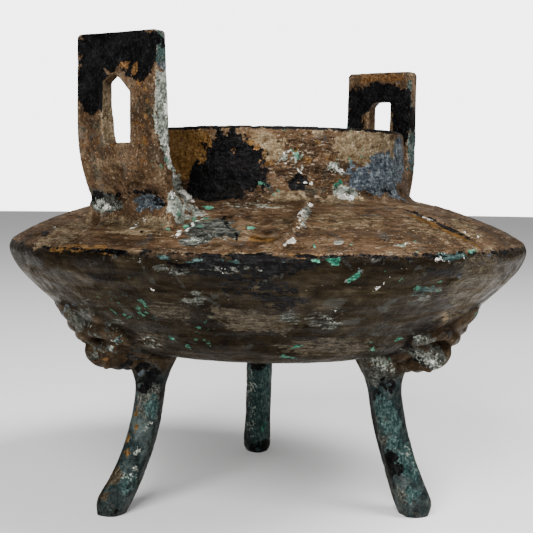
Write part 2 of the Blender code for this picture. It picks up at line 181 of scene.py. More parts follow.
# Heights and reaches between which one part of the skin passes into another, in metres
HANDLES_FROM = (0.112, 0.122)
HANDLES_BEYOND = (0.055, 0.060)
UNSEEN_BEYOND = -0.012
UNDER_BELOW = (0.084, 0.078)
LEGS_BELOW = (0.050, 0.044)

# The cast and buried skin, in mm: soft dents, grain, pits and strokes, and what lies on it
DENTS = 0.20
LUMPS, HANDLE_LUMPS = 0.12, 0.06
GRAIN = 0.17
PITS = 0.42
STROKES = 0.15
CRUST_RISE, CRUST_GRAIN = 0.03, 0.10
MALACHITE_RISE, MALACHITE_GRAIN = 0.07, 0.12
SEAM_GRAIN = 0.4

# The depth of a hollow, or the height of a worn edge, that counts in full, in mm
SHARP = 0.22

# How far the outlines of patches stray: size of the noise and reach, in mm
STRAYING = ((7.0, 1.6), (2.4, 0.8))

# Where each coat lies: place, half lengths along and across it, turn in degrees, strength; mm
PATCHES = {
    "earth": (
        (-79, 10, 127, 5.7, 2.4, -1, 0.7), (-79, -9, 131, 7, 2.6, -1, 0.5),
        (-78, 10, 117, 8.3, 3.6, 67, 0.4), (-55, -44, 100, 6.2, 3.5, 84, 0.4),
        (-11, -85, 81, 15.7, 10.2, -22, 0.8), (-6, -76, 71, 10.6, 4.5, 8, 0.7),
        (-65, -39, 71, 13.3, 6.3, -10, 0.8), (-40, -51, 61, 18.2, 5.9, -2, 0.6),
        (-76, -19, 73, 8.9, 5.6, -16, 0.6), (-66, -2, 62, 7.7, 6.1, 39, 0.5),
        (-63, 23, 56, 7.8, 2.9, 19, 0.4), (-55, 24, 13, 4.5, 3.4, 61, 0.8),
        (-59, 25, 7, 4.2, 2.6, 6, 0.8), (-3, -50, 52, 11.8, 2, -12, 0.8),
        (-31, -38, 108, 5.9, 2.4, 2, 0.6), (-78, -1, 99, 15.7, 2.2, 1, 0.7),
    ),
    "tan": (
        (-78, 0, 99, 8, 4.6, -19, 0.7), (-42, -57, 100, 19.5, 9.1, 7, 0.45),
        (-1, -78, 97, 13.7, 6.8, 37, 0.5), (-40, -26, 122, 5.6, 4.4, 0, 0.9),
        (-37, -34, 107, 11.3, 2.8, 1, 0.6), (-25, -45, 106, 10.9, 2.5, 2, 0.7),
        (-11, -46, 123, 15.2, 5.8, 3, 1), (7, -47, 122, 9.7, 4.7, 6, 0.8),
        (-76, 5, 132, 10, 3.5, -90, 1), (-50, -30, 104, 11.5, 4.8, 3, 0.4),
        (-65, -34, 99, 8.7, 0.5, -63, 0.7), (-18, -73, 98, 15.5, 13.9, -82, 0.4),
        (-11, -83, 94, 10, 7.9, -17, 0.4), (-10, -75, 70, 7.4, 1.8, 6, 0.6),
        (-40, -27, 121, 5, 4.7, -88, 0.55), (-76, -7, 102, 10.9, 1.8, 1, 0.75),
        (-83, 22, 93, 12.3, 5, 11, 0.65), (-78, -8, 99, 10, 4, 0, 1), (-79, -10, 96, 10, 3, 0, 0.8),
        (-78, 20, 96, 10.6, 7.8, -15, 0.6), (-28, -38, 127, 2.7, 1.3, 2, 0.8),
    ),
    "ochre": (
        (-89, 7, 91, 11.9, 1.9, 6, 1), (-89, -5, 90, 4.5, 1.2, 1, 1),
        (-67, -58, 91, 6.1, 0.9, 0, 0.8), (-15, -75, 98, 14.1, 2.7, -75, 0.9),
        (-48, -3, 120, 9.6, 8.7, -28, 1), (-47, 3, 125, 5.4, 3.8, -8, 0.8),
        (-42, -22, 123, 3.1, 2.5, -1, 0.7), (-30, -37, 121, 11.2, 5.6, 2, 0.35),
        (-2, -48, 120, 5.1, 1.6, 2, 0.7), (-79, -5, 144, 3.9, 0.9, -30, 0.95),
        (-79, -9, 139, 4.2, 0.9, 2, 0.9), (-79, -12, 134, 2.3, 1, 78, 0.6),
        (-73, -15, 106, 3.4, 0.8, -51, 0.8), (-68, -46, 95, 4.7, 2.2, -18, 0.9),
        (-8, -68, 60, 4.5, 0.8, -1, 0.8), (-48, 20, 35, 4, 1, -78, 0.65),
        (-50, 20, 27, 4.7, 1, 86, 0.7), (-52, 21, 20, 3.5, 1.2, 67, 0.55),
        (-58, 23, 8, 1.7, 1.3, 64, 0.6), (-41, -26, 119, 4.4, 3.1, 0, 0.4),
        (-79, -10, 138, 4.2, 1.1, -2, 1),
    ),
    "ash": (
        (-71, -29, 97, 7.8, 7.3, 75, 0.9), (-69, -35, 97, 5.6, 2.7, -73, 0.85),
        (-79, -29, 94, 4.9, 3, 9, 0.8), (-43, -45, 103, 3.6, 1, 76, 0.8),
        (-31, -79, 80, 5.4, 4.1, 8, 0.6), (-81, -37, 87, 17.1, 2.3, 4, 0.8),
        (-58, -52, 73, 6.9, 6, -47, 0.45), (-51, -56, 71, 6.1, 4.7, -39, 0.5),
        (-78, -28, 77, 5.2, 3.7, 48, 0.5), (-1, -63, 55, 13.8, 3.2, -8, 0.6),
        (-45, 15, 37, 6.7, 5, 84, 0.7), (-1, -49, 28, 6.9, 3.1, -77, 0.5),
        (0, -56, 7, 5.1, 2.9, 1, 0.6), (-43, -23, 109, 8.8, 2.8, 1, 0.6),
        (-69, 14, 63, 14.8, 3.1, 27, 0.5), (-72, 21, 70, 16.3, 2.6, 28, 0.5),
        (-46, 15, 40, 5.2, 4.6, 24, 0.8), (-74, 9, 104, 7.1, 3.2, -11, 0.85),
        (-79, -6, 97, 14.9, 0.9, 2, 0.4), (0, -64, 55, 15.8, 4, -9, 1),
        (-11, -68, 62, 8.7, 2.6, -6, 0.8), (-69, 23, 67, 10.6, 3.2, 24, 0.8),
        (-63, 22, 56, 9.9, 3, 14, 0.5), (-3, -45, 48, 10.8, 5.8, -7, 0.7),
    ),
    "slate": (
        (-73, -7, 105, 6, 1.9, 3, 0.85), (-76, -15, 149, 6, 1.5, -87, 1),
        (-6, -89, 89, 6.2, 1, -4, 0.85), (-56, -70, 87, 1.4, 0.8, -53, 0.55),
        (-27, -85, 86, 7, 1.1, 3, 0.5), (-79, -42, 86, 7.3, 0.5, 3, 0.4),
        (-47, 14, 48, 12.5, 1.2, 17, 0.5), (-55, 18, 6, 2.8, 1.9, -14, 0.6),
        (0, -49, 43, 3.9, 2.2, -5, 0.4), (-12, -47, 112, 8.4, 3.9, -1, 0.9),
        (-2, -48, 115, 10.5, 6.4, 10, 0.9), (-18, -45, 116, 3.6, 2.5, 5, 0.55),
        (9, -47, 119, 8.8, 6.4, 57, 0.9), (-3, -49, 110, 11, 3, 1, 0.9),
        (-15, -46, 113, 5.2, 3.8, 6, 0.8), (-74, -8, 104, 7, 2.4, 2, 0.9),
        (-28, -83, 86, 8, 1.8, -10, 0.6), (-73, 25, 71, 9, 1.3, 25, 0.5),
        (80, -14, 125, 6.5, 1.5, 86, 0.9), (-76, -15, 144, 2, 1.3, -85, 1),
        (1, -49, 108, 8.4, 2.2, -8, 1), (-9, -48, 110, 5, 1.6, -4, 0.9),
    ),
    "teal": (
        (35, 28, 24, 27.3, 5.2, 88, 1), (79, -14, 129, 12.1, 2.6, 88, 0.8),
        (-78, -45, 89, 19.3, 1.4, 1, 0.6), (-28, -85, 90, 9.2, 0.5, 0, 0.8),
        (-32, -79, 80, 3.5, 2.2, 37, 0.4), (-86, -25, 90, 2.8, 0.9, -4, 0.6),
        (-67, 12, 59, 3.7, 0.9, 28, 0.5), (-46, 16, 36, 6, 1.9, -86, 0.5),
        (-53, 18, 11, 5.3, 3, 73, 0.5), (0, -50, 34, 8.4, 3.9, -75, 0.75),
        (2, -55, 20, 9.1, 5.2, -69, 0.75), (2, -59, 8, 6.8, 2.9, -7, 0.6),
        (-26, -86, 91, 10, 1.3, 3, 1), (-67, 13, 59, 5.1, 1.6, 28, 0.8),
        (-77, -15, 149, 5.4, 1.1, -87, 0.8), (79, -15, 145, 8.9, 1.8, 86, 1.1),
    ),
    "soot": (
        (-78, 31, 94, 4.7, 1.8, -15, 0.6), (-11, -70, 100, 15.6, 2.9, -87, 0.8),
        (-45, -17, 117, 10.5, 10, -18, 1), (-48, -12, 108, 12.3, 4.2, -1, 1),
        (-48, -8, 113, 5, 4.4, -9, 0.9), (-43, -24, 111, 6.3, 6.2, -30, 0.66),
        (-44, -17, 125, 3.1, 2.9, -76, 0.8), (-34, -35, 111, 3.8, 2.8, 2, 0.6),
        (-23, -44, 107, 2.8, 1.5, -4, 0.6), (-32, -83, 90, 21.8, 0.8, 1, 0.8),
        (-78, -43, 87, 20.6, 3.2, 1, 0.62), (-71, -48, 81, 11.2, 5.1, -11, 0.62),
        (-65, -51, 77, 7.4, 3.6, -1, 0.62), (-88, -3, 83, 6.5, 2.7, 10, 0.7),
        (-85, 25, 86, 6.8, 1.8, -18, 0.6), (41, 33, 2, 5, 4.3, 6, 0.7),
        (32, 27, 39, 5.6, 3, 1, 0.9), (79, -1, 147, 17, 5.5, 3, 1.1),
        (79, 11, 137, 12.6, 4, 88, 1.1), (79, -10, 137, 12, 4.2, 86, 1.1),
        (-68, -59, 89, 16.7, 1.4, 0, 0.62), (-66, -32, 99, 12.4, 0.5, -66, 0.8),
        (-79, -1, 150, 18, 6.2, -3, 1.2), (-79, 10, 139, 8.6, 6.3, -87, 1.1),
        (-79, -10, 145, 5.5, 3.4, -6, 1), (-79, -5, 142, 2.9, 1.2, -24, 0.8),
        (-73, 13, 105, 2.8, 1.1, -9, 0.6), (-73, -12, 105, 2.8, 1.6, -27, 0.7),
        (-73, -8, 106, 4.3, 0.5, 1, 0.7), (-4, -90, 89, 5.8, 0.6, -3, 0.6),
        (-60, -66, 91, 8.6, 0.4, -3, 0.9), (-26, -85, 86, 6.3, 0.9, 3, 0.62),
        (-75, -45, 84, 9.4, 2, -6, 0.62), (-85, -28, 89, 4.2, 1.2, 2, 0.6),
        (-68, 4, 64, 2.4, 1.5, 27, 0.9), (-55, 18, 51, 6, 2, 29, 0.85),
        (-1, -63, 55, 7, 0.4, -13, 0.8), (-12, -69, 66, 5.9, 1, 9, 0.7),
        (0, -72, 63, 3.4, 1.6, -10, 0.6), (-48, 15, 50, 14.6, 1.5, 16, 0.9),
        (-40, 14, 40, 4.1, 1.5, -74, 0.65), (-58, 21, 2, 8.1, 1, 14, 0.85),
        (0, -49, 44, 5.1, 2.3, -24, 0.65), (1, -43, 34, 9.6, 1.9, -84, 0.7),
        (0, -51, 17, 5.3, 1.8, -83, 0.6), (79, 9, 144, 8.2, 3.3, 2, 0.6),
        (-46, 15, 46, 11.9, 2, 17, 0.9), (-46, 15, 43, 9.6, 2.1, 15, 0.6),
        (-4, -49, 108, 12.5, 1.1, -3, 0.5), (-73, -8, 107, 7.3, 0.7, 3, 0.8),
        (-30, -83, 86, 6.5, 1.6, -12, 1), (-7, -63, 57, 11.7, 0.8, -37, 1),
        (-55, 19, 50, 9.2, 2.2, 27, 0.9), (-74, 1, 107, 13.9, 1, 3, 0.8),
        (-77, -15, 151, 2.6, 1, -87, 0.9), (81, -14, 137, 5.7, 1.5, 86, 0.9),
        (-75, 2, 103, 4.5, 0.8, 11, 0.7), (-79, -9, 98, 3.1, 0.4, -44, 0.8),
        (-79, 15, 147, 1.8, 1.6, -77, 1.2), (-79, 3, 145, 2.8, 1.9, -6, 1.7),
        (-79, -9, 141, 3.4, 1.3, -3, 1.4), (-33, -35, 113, 1.3, 0.6, -28, 0.8),
        (-29, -39, 115, 1, 0.5, 19, 0.8),
    ),
    "rust": (
        (-79, -5, 144, 4.4, 1, -30, 1.2), (-79, -9, 139, 4.6, 1, 2, 0.9),
        (-79, -12, 142, 1.7, 0.6, -2, 0.6), (-43, -21, 125, 1.3, 0.8, -1, 0.7),
        (-41, -24, 122, 1.6, 1.3, 30, 0.7), (-44, -18, 121, 1.3, 0.8, -1, 0.6),
        (-41, -26, 118, 2.8, 1.6, 61, 0.5), (79, 0, 155, 14.1, 2.1, 1, 0.75),
        (79, 9, 138, 4.6, 2.1, 2, 0.4), (-61, 22, 52, 11.1, 1.9, 15, 0.5),
        (-78, 5, 122, 9.6, 5.4, 3, 0.38), (-79, -10, 126, 7.5, 3.1, 88, 0.42),
        (-77, -6, 116, 7.4, 3.6, 4, 0.35),
    ),
    "verdigris": (
        (35, 32, 22, 18.6, 1.6, 87, 0.4), (-75, 9, 103, 6.5, 2.5, -8, 0.6),
        (-76, -15, 137, 5.7, 1.5, -86, 0.9), (-73, -15, 124, 7, 1.5, -82, 0.9),
        (-49, 3, 112, 6.3, 2.4, -57, 0.95), (-51, -2, 106, 6.8, 2.2, -38, 0.9),
        (-62, -17, 102, 5.5, 2.2, -44, 0.7), (-77, -32, 95, 5.7, 3, 11, 0.4),
        (-74, -38, 95, 3.2, 1.4, 25, 0.4), (-49, -29, 104, 10.9, 4.9, 2, 0.35),
        (-50, -48, 100, 7.9, 1.3, 75, 0.7), (-55, -63, 94, 1.5, 1.3, 32, 0.95),
        (-40, -75, 94, 2.4, 1.2, 12, 0.9), (-73, 33, 96, 3.4, 1.1, 2, 0.5),
        (-57, -67, 84, 0.7, 0.6, 63, 0.8), (-79, -42, 87, 8.4, 0.3, 3, 0.4),
        (-88, -17, 89, 3, 0.5, 7, 0.5), (-49, -57, 71, 5.6, 2.4, -51, 0.22),
        (-52, -61, 75, 4.6, 0.4, 58, 0.35), (-67, 13, 59, 5.3, 1.4, 28, 0.5),
        (-70, 19, 65, 2.6, 0.8, 8, 0.5), (-65, -1, 61, 4.8, 3.9, 27, 0.4),
        (-12, -68, 63, 4.2, 1.3, -5, 0.4), (-47, 16, 29, 2.4, 1.4, 48, 0.55),
        (-50, 17, 21, 2, 1.3, 40, 0.75), (-52, 18, 15, 4.1, 1.8, 69, 0.4),
        (-3, -50, 52, 10.5, 2, -12, 0.4), (3, -55, 21, 6.9, 2.8, -75, 0.22),
        (-22, -44, 108, 5.2, 2.9, 0, 0.6), (-23, -42, 116, 3.8, 1.7, -24, 0.6),
        (-33, -35, 115, 2.9, 1.9, 2, 0.3), (-21, -44, 109, 5.2, 2.4, -3, 0.9),
        (-71, -15, 105, 4.4, 1.6, -70, 1), (-70, -16, 101, 5.3, 1.9, -50, 1),
        (-65, -15, 104, 3.1, 1.6, -32, 0.8), (-4, -49, 52, 14.2, 2.7, -12, 0.62),
        (0, -64, 54, 15.3, 3.5, -12, 0.5), (-12, -67, 63, 5.1, 1.3, -2, 0.6),
        (-67, 13, 59, 4.5, 1.3, 28, 0.8), (-72, -15, 119, 4.1, 1.3, -78, 1.1),
        (-77, -15, 129, 5.7, 1, -86, 1), (-21, -44, 108, 5.6, 2.9, -1, 0.9),
        (-35, -33, 119, 4.4, 2.2, 1, 0.45),
    ),
    "crust": (
        (-75, 9, 103, 4.4, 1.8, -8, 0.5), (-74, -15, 133, 2.6, 0.5, -86, 0.7),
        (-72, -15, 120, 3.5, 0.5, -82, 0.7), (-48, 3, 114, 2.7, 0.8, -64, 0.75),
        (-51, -4, 106, 4.6, 0.8, -39, 0.95), (-77, -22, 96, 2.8, 1.4, -83, 0.65),
        (-80, -21, 95, 1.4, 1.1, -88, 0.55), (-70, -23, 99, 6.9, 0.4, 82, 0.75),
        (-38, -42, 104, 2.8, 0.8, 85, 1.2), (-49, -47, 101, 7, 0.6, 75, 0.7),
        (-59, -51, 97, 1.7, 0.6, 68, 1.15), (-65, -52, 94, 2.9, 0.9, 44, 0.95),
        (-38, -75, 94, 1.5, 0.4, 10, 0.75), (-11, -69, 100, 2.7, 1.8, 42, 0.75),
        (-6, -79, 96, 1.6, 0.4, 27, 1.05), (-3, -82, 95, 1.6, 0.4, 21, 1.05),
        # The first row here paints a highlight: a thin white line on the crest of the bowl's edge
        (-28, -85, 90, 7.9, 0.2, 0, 1.05), (-80, -39, 86, 2.5, 0.2, 3, 0.75),
        (-84, -18, 81, 1.3, 0.6, -77, 0.65), (-48, -73, 82, 3.7, 0.2, 43, 0.6),
        (-22, -45, 107, 3.7, 1.5, -4, 0.7), (-23, -42, 116, 3.1, 0.5, -26, 0.65),
        (1, -65, 53, 7.2, 1.2, -6, 0.45), (-71, -15, 107, 2.1, 0.7, -78, 0.5),
        (-70, -16, 100, 3, 0.9, -39, 0.7), (-51, -6, 105, 6.1, 0.8, -44, 0.6),
        # The first row here widens that painted highlight along the edge's crest
        (-28, -85, 90, 8.5, 0.4, 3, 0.8), (-77, -8, 100, 4.9, 2.2, 1, 0.45),
        (-36, -32, 121, 1.6, 0.6, 21, 0.8), (-34, -34, 121, 1.3, 0.5, 30, 0.8),
        (-34, -35, 114, 1.3, 0.4, -29, 0.8), (-31, -37, 111, 1.6, 0.4, -19, 0.8),
        (-36, -33, 110, 0.9, 0.3, 40, 0.8),
    ),
    "malachite": (
        (40, 29, 11, 3.4, 1.6, 89, 0.75), (-77, -15, 123, 0.5, 0.4, -89, 0.85),
        (-75, -15, 119, 0.5, 0.3, -89, 0.75), (-48, 3, 115, 0.7, 0.3, -1, 0.85),
        (-58, -19, 103, 2.8, 1.6, -48, 1.05), (-67, -20, 100, 2.3, 0.7, -70, 1.05),
        (-72, -22, 98, 2.1, 0.9, -83, 1.05), (-77, -18, 97, 1, 0.7, -36, 0.65),
        (-83, -29, 92, 0.7, 0.6, -40, 0.85), (-65, -39, 98, 1.5, 1, 88, 1.1),
        (-54, -66, 94, 1.4, 0.4, -8, 0.9), (-50, -60, 97, 1.1, 0.6, 9, 0.65),
        (-44, -76, 92, 0.7, 0.4, 49, 0.85), (-39, -80, 91, 0.8, 0.6, 44, 0.95),
        (-20, -87, 91, 3.8, 0.5, 0, 0.9), (-61, -65, 90, 2.5, 0.9, -12, 1.05),
        (-65, -61, 90, 1.2, 0.6, 1, 0.75), (-62, -60, 93, 0.9, 0.6, -75, 1.05),
        (-56, -68, 85, 2.5, 0.9, 48, 1.1), (-85, -27, 90, 1.5, 0.4, 1, 0.65),
        (-89, 8, 86, 1, 0.3, 10, 0.95), (-67, -12, 64, 1.6, 1.2, 67, 0.95),
        (-63, -14, 61, 1.2, 1.1, 80, 0.75), (-48, -45, 62, 1.9, 1, 19, 0.95),
        (-18, -64, 62, 3.1, 0.8, -30, 0.95), (-24, -58, 60, 1.8, 0.8, -31, 0.85),
        (-41, -57, 67, 1.1, 0.7, -44, 0.65), (-22, -43, 112, 2.6, 0.9, 12, 1),
        (-24, -42, 111, 1.4, 0.7, -25, 0.75), (-35, -33, 120, 0.8, 0.7, 28, 0.55),
        (-17, -88, 91, 4, 0.9, 3, 0.9),
    ),
    "chips": (
        (-33, -35, 117, 14.4, 9.4, 2, 1), (-40, -29, 109, 9.3, 2.6, 1, 0.7),
        (-2, -48, 123, 14.2, 4.6, 3, 0.8), (-78, 0, 117, 13.5, 9.9, 19, 0.55),
        (-79, -11, 129, 7.5, 4.8, -89, 0.6), (-78, -12, 99, 9, 4.3, -4, 0.7),
        (-66, -16, 101, 11.2, 6.4, -56, 0.8), (-64, -52, 95, 4.8, 4.3, 48, 1),
        (-59, -31, 101, 14.5, 8.9, -78, 0.5), (-50, -55, 70, 7.4, 4.8, 45, 1),
        (-59, -68, 89, 10, 2.3, 5, 0.8), (-32, -83, 90, 15.6, 1.2, 1, 0.8),
        (-65, 24, 61, 20, 9.6, -25, 0.7), (-7, -68, 60, 15.2, 8.2, -6, 0.8),
        (-47, 16, 30, 18.8, 5.6, -48, 0.6), (2, -54, 22, 24.9, 7.7, 38, 0.6),
        (-73, -15, 126, 17.4, 1.7, -90, 0.9), (-25, -57, 60, 15.1, 4.9, -14, 0.6),
    ),
}

# How many patches of each coat the unseen sides carry, and their half length in mm
SCATTER = (
    ("earth", 16, 13.0), ("tan", 22, 10.0), ("ochre", 22, 7.0), ("ash", 22, 9.0),
    ("slate", 14, 8.0), ("teal", 10, 6.0), ("soot", 30, 9.0), ("rust", 10, 4.0),
    ("verdigris", 34, 5.0), ("crust", 26, 3.0), ("malachite", 34, 2.2), ("chips", 16, 11.0),
)

# Seams, folds and grooves of the casting: line in mm, half width and rise in mm
SEAMS = (
    (((-52, -20, 104), (-60, -31, 100), (-70, -41, 95)), 1.5, 0.825),
    (((-38, -41, 104), (-51, -47, 100), (-59, -51, 97), (-68, -51, 94)), 1.5, 1.125),
    (((-58, -40, 99), (-67, -45, 96)), 3.2, -0.825),
    (((-9, -52, 105), (-8, -61, 103), (-9, -72, 99), (-8, -82, 95), (-8, -88, 92)), 0.9, -0.675),
    (((-73, -30, 96), (-78, -45, 90)), 1.4, 0.60),
)

# The coats from the lowest to the topmost, each with its dark, middle and light tone
COATS = (
    ("earth", (0.016, 0.012, 0.007), (0.042, 0.033, 0.021), (0.095, 0.078, 0.052)),
    ("tan", (0.070, 0.045, 0.022), (0.140, 0.100, 0.056), (0.260, 0.205, 0.135)),
    ("ochre", (0.040, 0.018, 0.005), (0.110, 0.054, 0.014), (0.180, 0.105, 0.038)),
    ("ash", (0.010, 0.011, 0.010), (0.042, 0.044, 0.038), (0.150, 0.155, 0.130)),
    ("slate", (0.014, 0.018, 0.025), (0.050, 0.063, 0.075), (0.190, 0.215, 0.225)),
    ("teal", (0.006, 0.018, 0.018), (0.022, 0.046, 0.044), (0.080, 0.125, 0.115)),
    ("soot", (0.001, 0.001, 0.001), (0.002, 0.002, 0.0025), (0.011, 0.011, 0.012)),
    ("rust", (0.040, 0.018, 0.006), (0.110, 0.052, 0.017), (0.190, 0.105, 0.045)),
    ("verdigris", (0.040, 0.048, 0.040), (0.160, 0.175, 0.145), (0.400, 0.420, 0.370)),
    ("crust", (0.150, 0.140, 0.120), (0.490, 0.470, 0.420), (0.860, 0.850, 0.810)),
    ("malachite", (0.002, 0.024, 0.015), (0.013, 0.090, 0.056), (0.100, 0.290, 0.200)),
)
COAT_STOPS = (0.30, 0.50, 0.72)

# How far each noise frays a coat's outline: sweeps, strokes, lumps, crumbs, grit
BROAD_FRAY = (0.45, 0.60, 0.45, 0.45, 0.0)
FINE_FRAY = (0.15, 0.50, 0.10, 0.70, 0.50)
FINE_COATS = ("verdigris", "crust", "malachite")

# The bare metal's tones on the upper side, under the edge and on the legs; under the edge they are
# a darker patina deepened by painted shade
BRONZE = (
    (0.24, (0.026, 0.016, 0.009)),
    (0.40, (0.048, 0.028, 0.015)),
    (0.50, (0.074, 0.041, 0.020)),
    (0.60, (0.100, 0.062, 0.033)),
    (0.74, (0.165, 0.114, 0.068)),
)
# Far darker than the upper side: partly the underside's darker patina, partly painted shade
UNDERSIDE_BRONZE_AND_SHADE = (
    (0.24, (0.002, 0.0015, 0.001)),
    (0.40, (0.005, 0.0037, 0.002)),
    (0.52, (0.010, 0.0074, 0.0038)),
    (0.64, (0.018, 0.0138, 0.0075)),
    (0.80, (0.050, 0.040, 0.025)),
)
GREEN_BLACK = (
    (0.3, (0.004, 0.007, 0.008)),
    (0.5, (0.015, 0.025, 0.026)),
    (0.7, (0.060, 0.080, 0.075)),
)
GREY_FILM = (0.045, 0.050, 0.047, 1)
# Pale flecks and strokes: partly dust, partly painted highlights on the strokes
DUST_AND_HIGHLIGHTS = (0.27, 0.21, 0.15, 1)
DARK_CHIPS = (0.007, 0.005, 0.004, 1)
GREEN_SPECKS = (0.045, 0.150, 0.100, 1)
HOLLOW_SHADE = (0.22, 0.20, 0.18, 1)
WORN_METAL = (0.24, 0.19, 0.13, 1)
INSIDE_SHADE = (0.35, 0.32, 0.30, 1)
SHEEN_TINT = (0.55, 0.50, 0.44, 1)


def curve(start, lead, follow, end, count):
    """Points of a cubic curve from start up to, but not including, end."""
    points = []
    for i in range(count):
        t = i / count
        u = 1 - t
        weights = (u * u * u, 3 * u * u * t, 3 * u * t * t, t * t * t)
        controls = (start, lead, follow, end)
        points.append(tuple(sum(w * p[k] for w, p in zip(weights, controls)) for k in (0, 1)))
    return points


def traced(curves, count):
    """Points along joined curves, with their last end."""
    points = [point for controls in curves for point in curve(*controls, count)]
    return np.array(points + [curves[-1][3]])


def bowl_curves():
    """The floor's, the wall's and the shoulder's curves, as (radius, height)."""
    belly = (SHOULDER_RADIUS, SHOULDER_HEIGHT)
    foot = (NECK_ROOT_RADIUS + NECK_FILLET, NECK_ROOT_HEIGHT)
    lead = WALL_LEAD * (belly[1] - FLOOR_TURN[1])
    along = (lead * math.cos(WALL_ANGLE), lead * math.sin(WALL_ANGLE))
    run, rise = CREASE[0] - foot[0], foot[1] - CREASE[1]
    before = (FLOOR_TURN[0] - along[0], FLOOR_TURN[1] - along[1])
    after = (FLOOR_TURN[0] + along[0], FLOOR_TURN[1] + along[1])
    under_belly = (belly[0], belly[1] - BELLY_LEAD * (belly[1] - FLOOR_TURN[1]))
    leads = [(CREASE[0] - x * run, CREASE[1] + y * rise) for x, y in SHOULDER_LEADS]
    return (
        ((0.0, FLOOR_HEIGHT), (FLOOR_FLAT, FLOOR_HEIGHT), before, FLOOR_TURN),
        (FLOOR_TURN, after, under_belly, belly),
        (CREASE, *leads, foot),
    )


def outer_line():
    """The outside from the middle of the floor to the rim."""
    floor, wall, shoulder = bowl_curves()
    side = (NECK_ROOT_RADIUS, NECK_ROOT_HEIGHT + NECK_FILLET)
    lead = (NECK_ROOT_RADIUS + 0.3 * NECK_FILLET, NECK_ROOT_HEIGHT)
    lip = RIM_HEIGHT - RIM_ROUND
    line = curve(*floor, 22) + curve(*wall, 26) + [wall[3]] + curve(*shoulder, 26)
    line += curve(shoulder[3], lead, side, side, 8)
    for share in (0.0, 0.2, 0.4, 0.6, 0.8):
        line.append((side[0] + share * (RIM_RADIUS - side[0]), side[1] + share * (lip - side[1])))
    return line + [(RIM_RADIUS, lip), (RIM_RADIUS - RIM_ROUND, RIM_HEIGHT)]


def inner_line(outer):
    """The inside from the rim down to the middle of the floor, a wall's thickness in."""
    line = np.array(outer[:-1])
    run = line[2:] - line[:-2]
    inward = np.stack([-run[:, 1], run[:, 0]], 1) / np.linalg.norm(run, axis=1)[:, None]
    offset = line[1:-1] + WALL * inward
    kept = offset[line_place(offset, line)[1] > 0.985 * WALL]
    bore = RIM_RADIUS - WALL
    return [(bore, RIM_HEIGHT)] + [tuple(p) for p in kept[::-1]] + [(0.0, FLOOR_HEIGHT + WALL)]


def line_place(points, line):
    """Arc length along a line of places, distance to it and, in a plane, the side of it."""
    line = np.array(line, dtype=float)
    spans = line[1:] - line[:-1]
    lengths = np.linalg.norm(spans, axis=1)
    starts = np.concatenate([[0.0], np.cumsum(lengths)[:-1]])
    best = np.full(len(points), np.inf)
    station = np.zeros(len(points))
    side = np.zeros(len(points))
    for a, span, length, start in zip(line[:-1], spans, lengths, starts):
        if length == 0:
            continue
        way = points - a
        share = np.clip(way @ span / length**2, 0, 1)
        gap = np.linalg.norm(way - share[:, None] * span, axis=1)
        nearer = gap < best
        best = np.where(nearer, gap, best)
        station = np.where(nearer, start + share * length, station)
        side = np.where(nearer, np.sign(span[0] * way[:, 1] - span[1] * way[:, 0]), side)
    return station, best, side


def placed(name, data):
    """An object of the scene at the origin."""
    made = bpy.data.objects.new(name, data)
    bpy.context.scene.collection.objects.link(made)
    return made


def object_from(name, shape):
    mesh = bpy.data.meshes.new(name)
    shape.to_mesh(mesh)
    shape.free()
    return placed(name, mesh)


def apply_modifiers(target):
    """Applies the object's modifiers to its mesh."""
    bpy.context.view_layer.update()
    graph = bpy.context.evaluated_depsgraph_get()
    mesh = bpy.data.meshes.new_from_object(target.evaluated_get(graph))
    target.modifiers.clear()
    target.data = mesh


def moved_verts(made):
    return [v for v in made["geom"] if isinstance(v, bmesh.types.BMVert)]


def bowl_and_neck():
    """The hollow bowl and its neck, spun as one closed wall."""
    outer = outer_line()
    shape = bmesh.new()
    verts = [shape.verts.new((r, 0.0, z)) for r, z in outer + inner_line(outer)]
    edges = [shape.edges.new(pair) for pair in zip(verts, verts[1:])]
    bmesh.ops.spin(
        shape, geom=verts + edges, cent=(0, 0, 0), axis=(0, 0, 1), dvec=(0, 0, 0),
        angle=math.tau, steps=TURN_STEPS, use_merge=True,
    )
    bmesh.ops.remove_doubles(shape, verts=shape.verts, dist=1e-6)
    bmesh.ops.recalc_face_normals(shape, faces=shape.faces)
    return object_from("bowl_and_neck", shape)


def shoulder_height(radius):
    line = traced(bowl_curves()[2:], 60)
    return float(np.interp(radius, line[::-1, 0], line[::-1, 1]))


def under_height(radius):
    line = traced(bowl_curves()[:2], 60)
    return float(np.interp(radius, line[:, 0], line[:, 1]))


